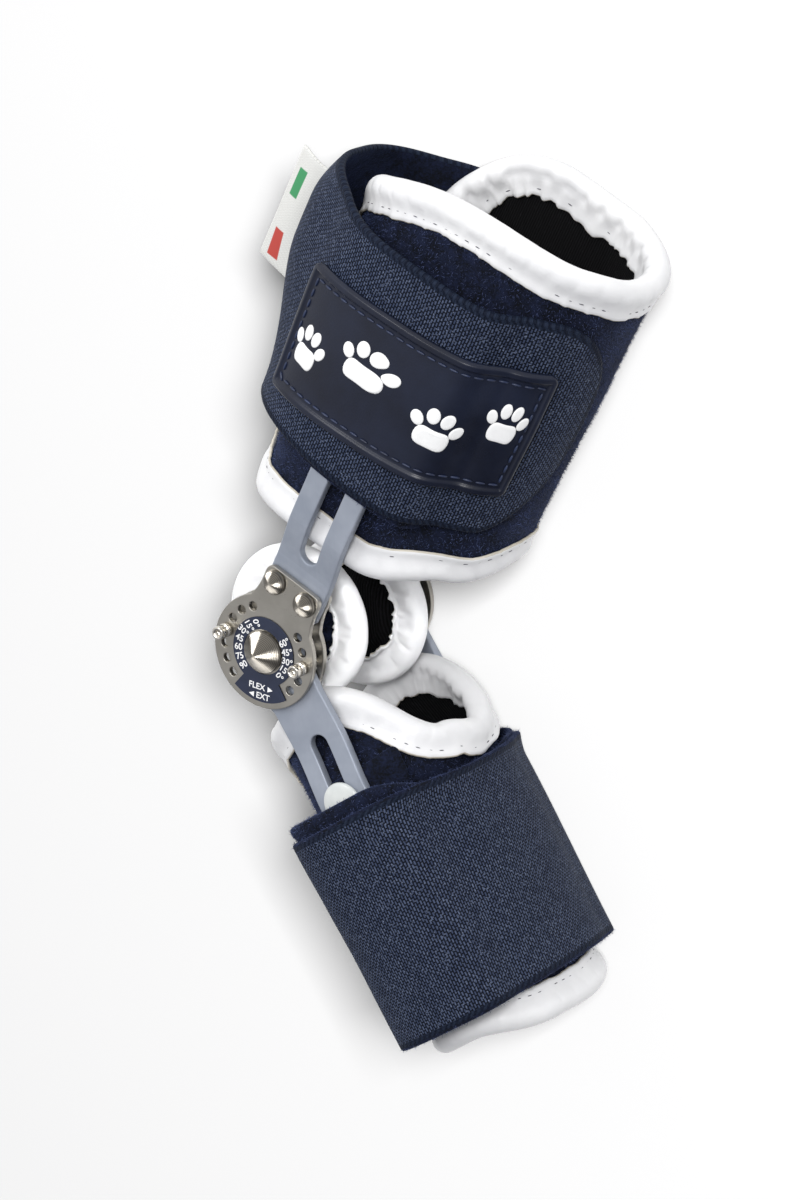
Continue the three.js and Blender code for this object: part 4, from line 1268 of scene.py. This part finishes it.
rivetProfile = shank(1.5, 2.7) + raised(faceZ, [(1.5, 0.15), (3.3, 0.15)])
for i in range(11):
    turn = math.radians(9 * i)
    rivetProfile.append((3.4 * math.cos(turn), faceZ + 0.3 + 2.1 * math.sin(turn) ** 1.15 + 0.03 * i))
pivotFoot = shank(3, 4.6) + raised(faceZ, [(3, 0.15), (5.6, 0.15), (5.8, 0.35)])
coneProfile = pivotFoot + raised(faceZ, [
    (5.75, 0.8), (5.5, 1.15), (3.2, 2.9), (1.25, 4.38), (0.9, 4.62), (0.5, 4.8), (0, 4.87),
])
flatProfile = pivotFoot + raised(midZ, [(5.8, -0.45), (5.65, -0.12), (5.3, 0), (0, 0)])
socketRadius = 1.05
screwProfile = raised(innerZ, [(0, 0), (0.95, 0)]) + raised(faceZ, [
    (0.95, 0.35), (1.75, 0.35), (1.9, 0.5), (1.9, 1.3), (1.75, 1.45), (1.2, 1.5), (1.2, 1.9), (1.6, 1.95),
    (1.8, 2.15), (1.8, 4.1), (1.65, 4.35), (1.45, 4.4), (socketRadius, 4.4), (socketRadius, 3.0), (0, 2.7),
])


def hexSocket(radius, angle):
    if radius == socketRadius:
        return 1.0 / math.cos(math.radians(angle % 60 - 30))
    return radius


# sets a turned piece on each point of a side
def setTree():
    tree, given = startTree("fastenerSet", {"Spots": "Geometry", "Model": "Object", "Finish": "Material"})
    shape = addNode(tree, "GeometryNodeObjectInfo", {"Object": given["Model"]})
    placed = addNode(tree, "GeometryNodeInstanceOnPoints", {
        "Points": given["Spots"], "Instance": shape.outputs["Geometry"],
    })
    return endTree(tree, placed, given["Finish"])


setNodes = setTree()


def fastenerSet(name, model, spots, finish):
    mesh = bpy.data.meshes.new(name + "Spots")
    mesh.from_pydata([spot * mm for spot in spots], [], [])
    piece = fromTree(name, mesh, setNodes, {"Model": model, "Finish": finish})
    bpy.data.objects.remove(model)
    return piece


for side, outwards in sides:
    model = lathe("rivetModel", rivetProfile, [polishedSteel], 40, outwards=outwards)
    rivets = fastenerSet(f"dome_rivets_{side}", model, rivetSpots, turnedSteel)
    dress(rivets, "forearm_half", "polished_steel", f"dome_rivet_{side}_1", f"dome_rivet_{side}_2")
model = lathe("screwModel", screwProfile, [polishedSteel], 36, wrap=hexSocket)
screwSpots = [polar(hinge["holeCircle"], turn) for turn in screwTurns]
screws = fastenerSet("stop_screws", model, screwSpots, polishedSteel)
dress(screws, "forearm_half", "polished_steel", "stop_screw_lateral_1", "stop_screw_lateral_2")
cone = lathe("pivot_cone", coneProfile, [turnedSteel], 96)
dress(cone, "forearm_half", "polished_steel", "pivot_lateral")
flatHead = lathe("pivot_flat", flatProfile, [turnedSteel], 96, outwards=-1)
dress(flatHead, "forearm_half", "polished_steel", "pivot_medial")

barButton = {"along": 45, "radius": 5.9, "rise": 1.2}
buttonFoot = lowerBar["bends"][2][1] + lowerBar["thick"] + 0.2
buttonProfile = raised(buttonFoot, [(0, 0), (5.8, 0), (6.0, 0.25), (5.95, 0.6)])
for i in range(1, 10):
    turn = math.radians(10 * i)
    buttonProfile.append((barButton["radius"] * math.cos(turn),
                          buttonFoot + 0.7 + barButton["rise"] * math.sin(turn)))
buttonSpot = inPlane(lowerHalf, barButton["along"], 0)
button = lathe("bar_button", buttonProfile, [pearlPlastic], 48, spot=buttonSpot)
dress(button, "paw_half", "button_plastic", "bar_button_lateral")
print("rivets, screws and pivots made")


# printed dial with generic figures

dial = {
    "inner": 6.2, "outer": 9.6, "sectorOuter": 14.1, "from": 223, "to": 294.5,
    "thick": 0.2, "bevel": 0.04, "lift": 0.1,
    "figureSize": 2.5, "figureReach": 7.85, "wordSize": 2.4, "wordTurn": -11.25,
    "boldness": 0.03, "inkHalf": 0.04, "inkLift": 0.05,
    "flexFigures": ["0°", "15°", "30°", "45", "60", "75", "90"],
    "extFigures": ["60°", "45°", "30°", "15°", "0°"],
    # word, reach, slide along the word, place of its arrow, way the arrow points
    "words": [("FLEX", 10.0, -1.1, 4.2, 1), ("EXT", 12.5, 1.0, -3.6, -1)],
}
dialTop = midZ + faceZ + dial["lift"] + dial["thick"]
outline = [polar(dial["sectorOuter"], dial["from"] + (dial["to"] - dial["from"]) * i / 20) for i in range(21)]
sweep = dial["from"] + 360 - dial["to"]
outline += [polar(dial["outer"], dial["to"] + sweep * i / 72) for i in range(73)]
dialFilm = sheetMetal("dial_film", outline, [circle(pivotSpot, dial["inner"], 48)],
                      dial["thick"], dial["bevel"], [dialPrint, dialPrint])
lifted(dialFilm, dialTop - dial["thick"] / 2)
dress(dialFilm, "forearm_half", "dial_print", "dial_face")


def wordMesh(text, size):
    curve = bpy.data.curves.new("figure", "FONT")
    curve.body = text
    curve.size = size * mm
    curve.align_x, curve.align_y = "CENTER", "CENTER"
    curve.offset = dial["boldness"] * mm
    curve.extrude = dial["inkHalf"] * mm
    return asMesh("figure", addObject("figure", curve))


def arrowMesh(way):
    corners = [(-0.75 * way, 0.75), (-0.75 * way, -0.75), (0.85 * way, 0)]
    low = [Vector((x, y, -dial["inkHalf"])) * mm for x, y in corners]
    high = [Vector((x, y, dial["inkHalf"])) * mm for x, y in corners]
    mesh = bpy.data.meshes.new("arrow")
    mesh.from_pydata(low + high, [], [(2, 1, 0), (3, 4, 5), (0, 1, 4, 3), (1, 2, 5, 4), (2, 0, 3, 5)])
    return mesh


def stamp(shell, mesh, spot, turn):
    move = Matrix.Translation((spot.x * mm, spot.y * mm, (dialTop + dial["inkLift"]) * mm))
    mesh.transform(move @ Matrix.Rotation(math.radians(turn), 4, "Z"))
    shell.from_mesh(mesh)
    bpy.data.meshes.remove(mesh)


def dialFigures():
    lean = dial["wordTurn"]
    middle = (dial["from"] + dial["to"]) / 2
    mesh = bpy.data.meshes.new("dial_figures")
    with editing(mesh) as shell:
        for turns, figures, extra in zip(stops, (dial["flexFigures"], dial["extFigures"]), (180, 0)):
            for turn, text in zip(turns, figures):
                spot = polar(dial["figureReach"], turn)
                stamp(shell, wordMesh(text, dial["figureSize"]), spot, turn + extra)
        for text, reach, slide, arrow, way in dial["words"]:
            centre = polar(reach, middle) + polar(slide, lean)
            stamp(shell, wordMesh(text, dial["wordSize"]), centre, lean)
            stamp(shell, arrowMesh(way), centre + polar(arrow, lean), lean)
        bmesh.ops.recalc_face_normals(shell, faces=shell.faces)
    mesh.materials.append(whitePrint)
    mesh.polygons.foreach_set("material_index", [0] * len(mesh.polygons))
    return addObject("dial_figures", mesh)


dress(dialFigures(), "forearm_half", "dial_print")
print("dial made")


# round pads inside the hinges

pad = {
    "radius": 16.3, "middle": 12.6, "steps": 180, "stitchRise": 2.28,
    "centres": {"lateral": (3.6, -1.6), "medial": (1.6, 1.8)},  # s, across
}
padTop = footZ - 0.3
padProfile = raised(pad["middle"], [
    (0, -4.2), (5, -4.15), (9.0, -3.7), (10.3, -2.6), (11.2, -1.6), (12.5, -1.45), (16.2, -1.45),
    (16.2, 1.45), (12.5, 1.45), (11.0, 1.7), (10.2, 3.0),
]) + raised(padTop, [(8.8, -2.4), (7.4, -0.6), (5.5, -0.1), (0, 0)])
padStitches = []
for side, outwards in sides:
    centre = inPlane(upperHalf, *pad["centres"][side])
    piece = lathe(f"hinge_pad_{side}", padProfile, [ribbedLining, velour], 96, lambda k: 0 if k < 6 else 1,
                  centre, outwards)
    dress(piece, "forearm_half", "cuff_cloth", f"round_pad_{side}")
    up = Vector((0, 0, outwards))
    frames = []
    for i in range(pad["steps"]):
        away = polar(1.0, 360 * i / pad["steps"])
        point = centre + away * pad["radius"]
        point.z = midZ + outwards * pad["middle"]
        frames.append((point, away, up))
    boundEdge(f"hinge_pad_binding_{side}", frames, 31.0 + outwards, padEdge, "forearm_half",
              f"pad_binding_{side}")
    padStitches.append(offsetPath(frames, binding["stitchOut"], pad["stitchRise"]))
print("pads made")

bindingSeam = {"pitch": 3.3, "length": 1.35, "radius": 0.14, "thread": darkThread}
flangeTop = binding["slot"] + binding["flange"] - 0.05
for half, frames, more, body in (
    ("upper", upperFrames, padStitches, "forearm_half"), ("lower", lowerFrames, [], "paw_half"),
):
    rises = (flangeTop, -flangeTop - 0.15)
    paths = [offsetPath(frames, binding["stitchOut"], rise) for rise in rises]
    dress(stitchPiece(f"{half}_binding_stitches", paths + more, **bindingSeam), body, "binding")
print("stitches made")


# nap: short fibres that stand on the velour, so that its edges look soft

nap = {
    "length": 0.9, "radius": 0.075, "lean": 0.9, "seed": 5,
    "counts": {"upper_cuff_pad": 26000, "lower_cuff_pad": 14000, "lower_band_cloth": 22000,
               "upper_pocket_cloth_lateral": 7000, "lower_strap_tape": 9000},
}


def napTree():
    tree, given = startTree("velourNap", {"Cloth": "Geometry", "Density": "Float", "Finish": "Material"})
    spots = addNode(tree, "GeometryNodeDistributePointsOnFaces", {
        "Mesh": given["Cloth"], "Density": given["Density"], "Seed": nap["seed"],
    })
    fibre = addNode(tree, "GeometryNodeMeshCone", {
        "Vertices": 3, "Radius Top": 0.0, "Radius Bottom": nap["radius"] * mm, "Depth": nap["length"] * mm,
    })
    lean = addNode(tree, "FunctionNodeRandomValue", {
        "Min": (-nap["lean"], -nap["lean"], -3.0), "Max": (nap["lean"], nap["lean"], 3.0),
    }, data_type="FLOAT_VECTOR")
    size = addNode(tree, "FunctionNodeRandomValue", {2: 0.6, 3: 1.2}, data_type="FLOAT")
    leaning = addNode(tree, "FunctionNodeRotateRotation", {
        "Rotation": spots.outputs["Rotation"], "Rotate By": lean.outputs[0],
    }, rotation_space="LOCAL")
    placed = addNode(tree, "GeometryNodeInstanceOnPoints", {
        "Points": spots, "Instance": fibre, "Rotation": leaning, "Scale": size.outputs[1],
    })
    return endTree(tree, placed, given["Finish"])


napNodes = napTree()


def napPiece(clothName, count):
    mesh = bpy.data.objects[clothName].data.copy()
    with editing(mesh) as shell:
        bare = [face for face in shell.faces if mesh.materials[face.material_index] != velour]
        bmesh.ops.delete(shell, geom=bare, context="FACES")
        area = sum(face.calc_area() for face in shell.faces)
    return fromTree(clothName + "_nap", mesh, napNodes, {"Density": count / area, "Finish": velourFibre})


for clothName, count in nap["counts"].items():
    body = "paw_half" if clothName.startswith("lower") else "forearm_half"
    dress(napPiece(clothName, count), body, "velour")
print("nap made")


# floor, camera and soft light

view = {
    "target": (24.69, 8.17, 34.0), "distance": 1.1, "lens": 125.4,
    "right": (0.82875, -0.08352, -0.55335), "up": (-0.08352, 0.95926, -0.26989),
    "back": (0.55335, 0.26989, 0.78801),
}
viewTarget = Vector(view["target"]) * mm
right, up, back = [Vector(view[key]).normalized() for key in ("right", "up", "back")]
camera = addObject("camera", bpy.data.cameras.new("camera"))
place = Matrix((right, up, back)).transposed().to_4x4()
place.translation = viewTarget + back * view["distance"]
camera.matrix_world = place
camera.data.lens = view["lens"]
camera.data.sensor_width = 36
camera.data.clip_end = 20
scene.camera = camera

# matt floor paint: an even grey without glints
floorPaint = startMaterial("floorPaint", 0.9, **{
    "Base Color": linear("#616161"), "Specular IOR Level": 0.0,
    "Emission Color": (1.0, 1.0, 1.0, 1.0), "Emission Strength": 0.05,
})[0]
floorMesh = bpy.data.meshes.new("floor")
floorMesh.from_pydata([(-3, -3, 0), (3, -3, 0), (3, 3, 0), (-3, 3, 0)], [], [(0, 1, 2, 3)])
floorMesh.materials.append(floorPaint)
floor = addObject("floor", floorMesh)

# the room is bright to the upper left of the view and dim to the lower right
scene.world = bpy.data.worlds.new("studio")
scene.world.use_nodes = True
room = scene.world.node_tree
way = addNode(room, "TexCoord").outputs["Generated"]
bright = (up * 0.65 - right * 0.55 + back * 0.5).normalized()
facing = addNode(room, "VectorMath", {0: way, 1: bright}, operation="DOT_PRODUCT").outputs["Value"]
share = addNode(room, "MapRange", {0: facing, 1: -1.0, 2: 1.0})
glow = addNode(room, "ValToRGB", {"Fac": share}, [(0.2, "#67686c"), (0.58, "#b4b5b9"), (0.88, "#ffffff")])
setInputs(room.nodes["Background"], {"Color": glow, "Strength": 1.0})

# the floor has a light of its own from the right, so that its shadow hugs the brace on the left, and
# the turned steel has three that draw its fans
aimSpot = Vector((0.02, 0.0, 0.03))
steelNames = ("pivot_cone", "pivot_flat", "dome_rivets_lateral", "dome_rivets_medial")
steelHeads = [bpy.data.objects[name] for name in steelNames]
padEdges = [bpy.data.objects[f"hinge_pad_binding_{side}"] for side, outwards in sides]
softboxes = [
    # name, place from the view, width, height, power, whether it lights the listed pieces or all others
    ("frontBox", (-0.12, 0.22, 1.3), 0.34, 0.3, 8.0, "EXCLUDE", [floor] + steelHeads),
    ("sideBox", (-0.75, 0.55, 0.75), 0.3, 0.5, 3.5, "EXCLUDE", [floor] + steelHeads),
    ("floorBox", (0.2, 0.14, 4.0), 1.0, 1.0, 1620.0, "INCLUDE", [floor]),
    ("leftGlint", (-0.58, 0.36, -0.06), 0.45, 0.45, 15.0, "INCLUDE", steelHeads),
    ("lowGlint", (-0.12, -0.38, 0.57), 0.3, 0.3, 10.0, "INCLUDE", steelHeads),
    ("footGlint", (-0.42, -0.54, -0.1), 0.7, 0.7, 9.0, "INCLUDE", steelHeads),
    ("fillBox", (0.6, -0.1, 0.9), 0.4, 0.4, 3.2, "INCLUDE", padEdges),
]
for name, (x, y, z), width, height, power, state, pieces in softboxes:
    light = addObject(name, bpy.data.lights.new(name, "AREA"))
    light.data.shape = "RECTANGLE"
    light.data.size, light.data.size_y = width, height
    light.data.energy = power
    light.visible_camera = False
    light.location = viewTarget + right * x + up * y + back * z
    light.rotation_euler = (aimSpot - light.location).to_track_quat("-Z", "Y").to_euler()
    group = bpy.data.collections.new(name + "Lit")
    for piece in pieces:
        group.objects.link(piece)
    light.light_linking.receiver_collection = group
    for entry in group.collection_objects:
        entry.light_linking.link_state = state
scene.view_settings.view_transform = "Standard"
print("studio made")
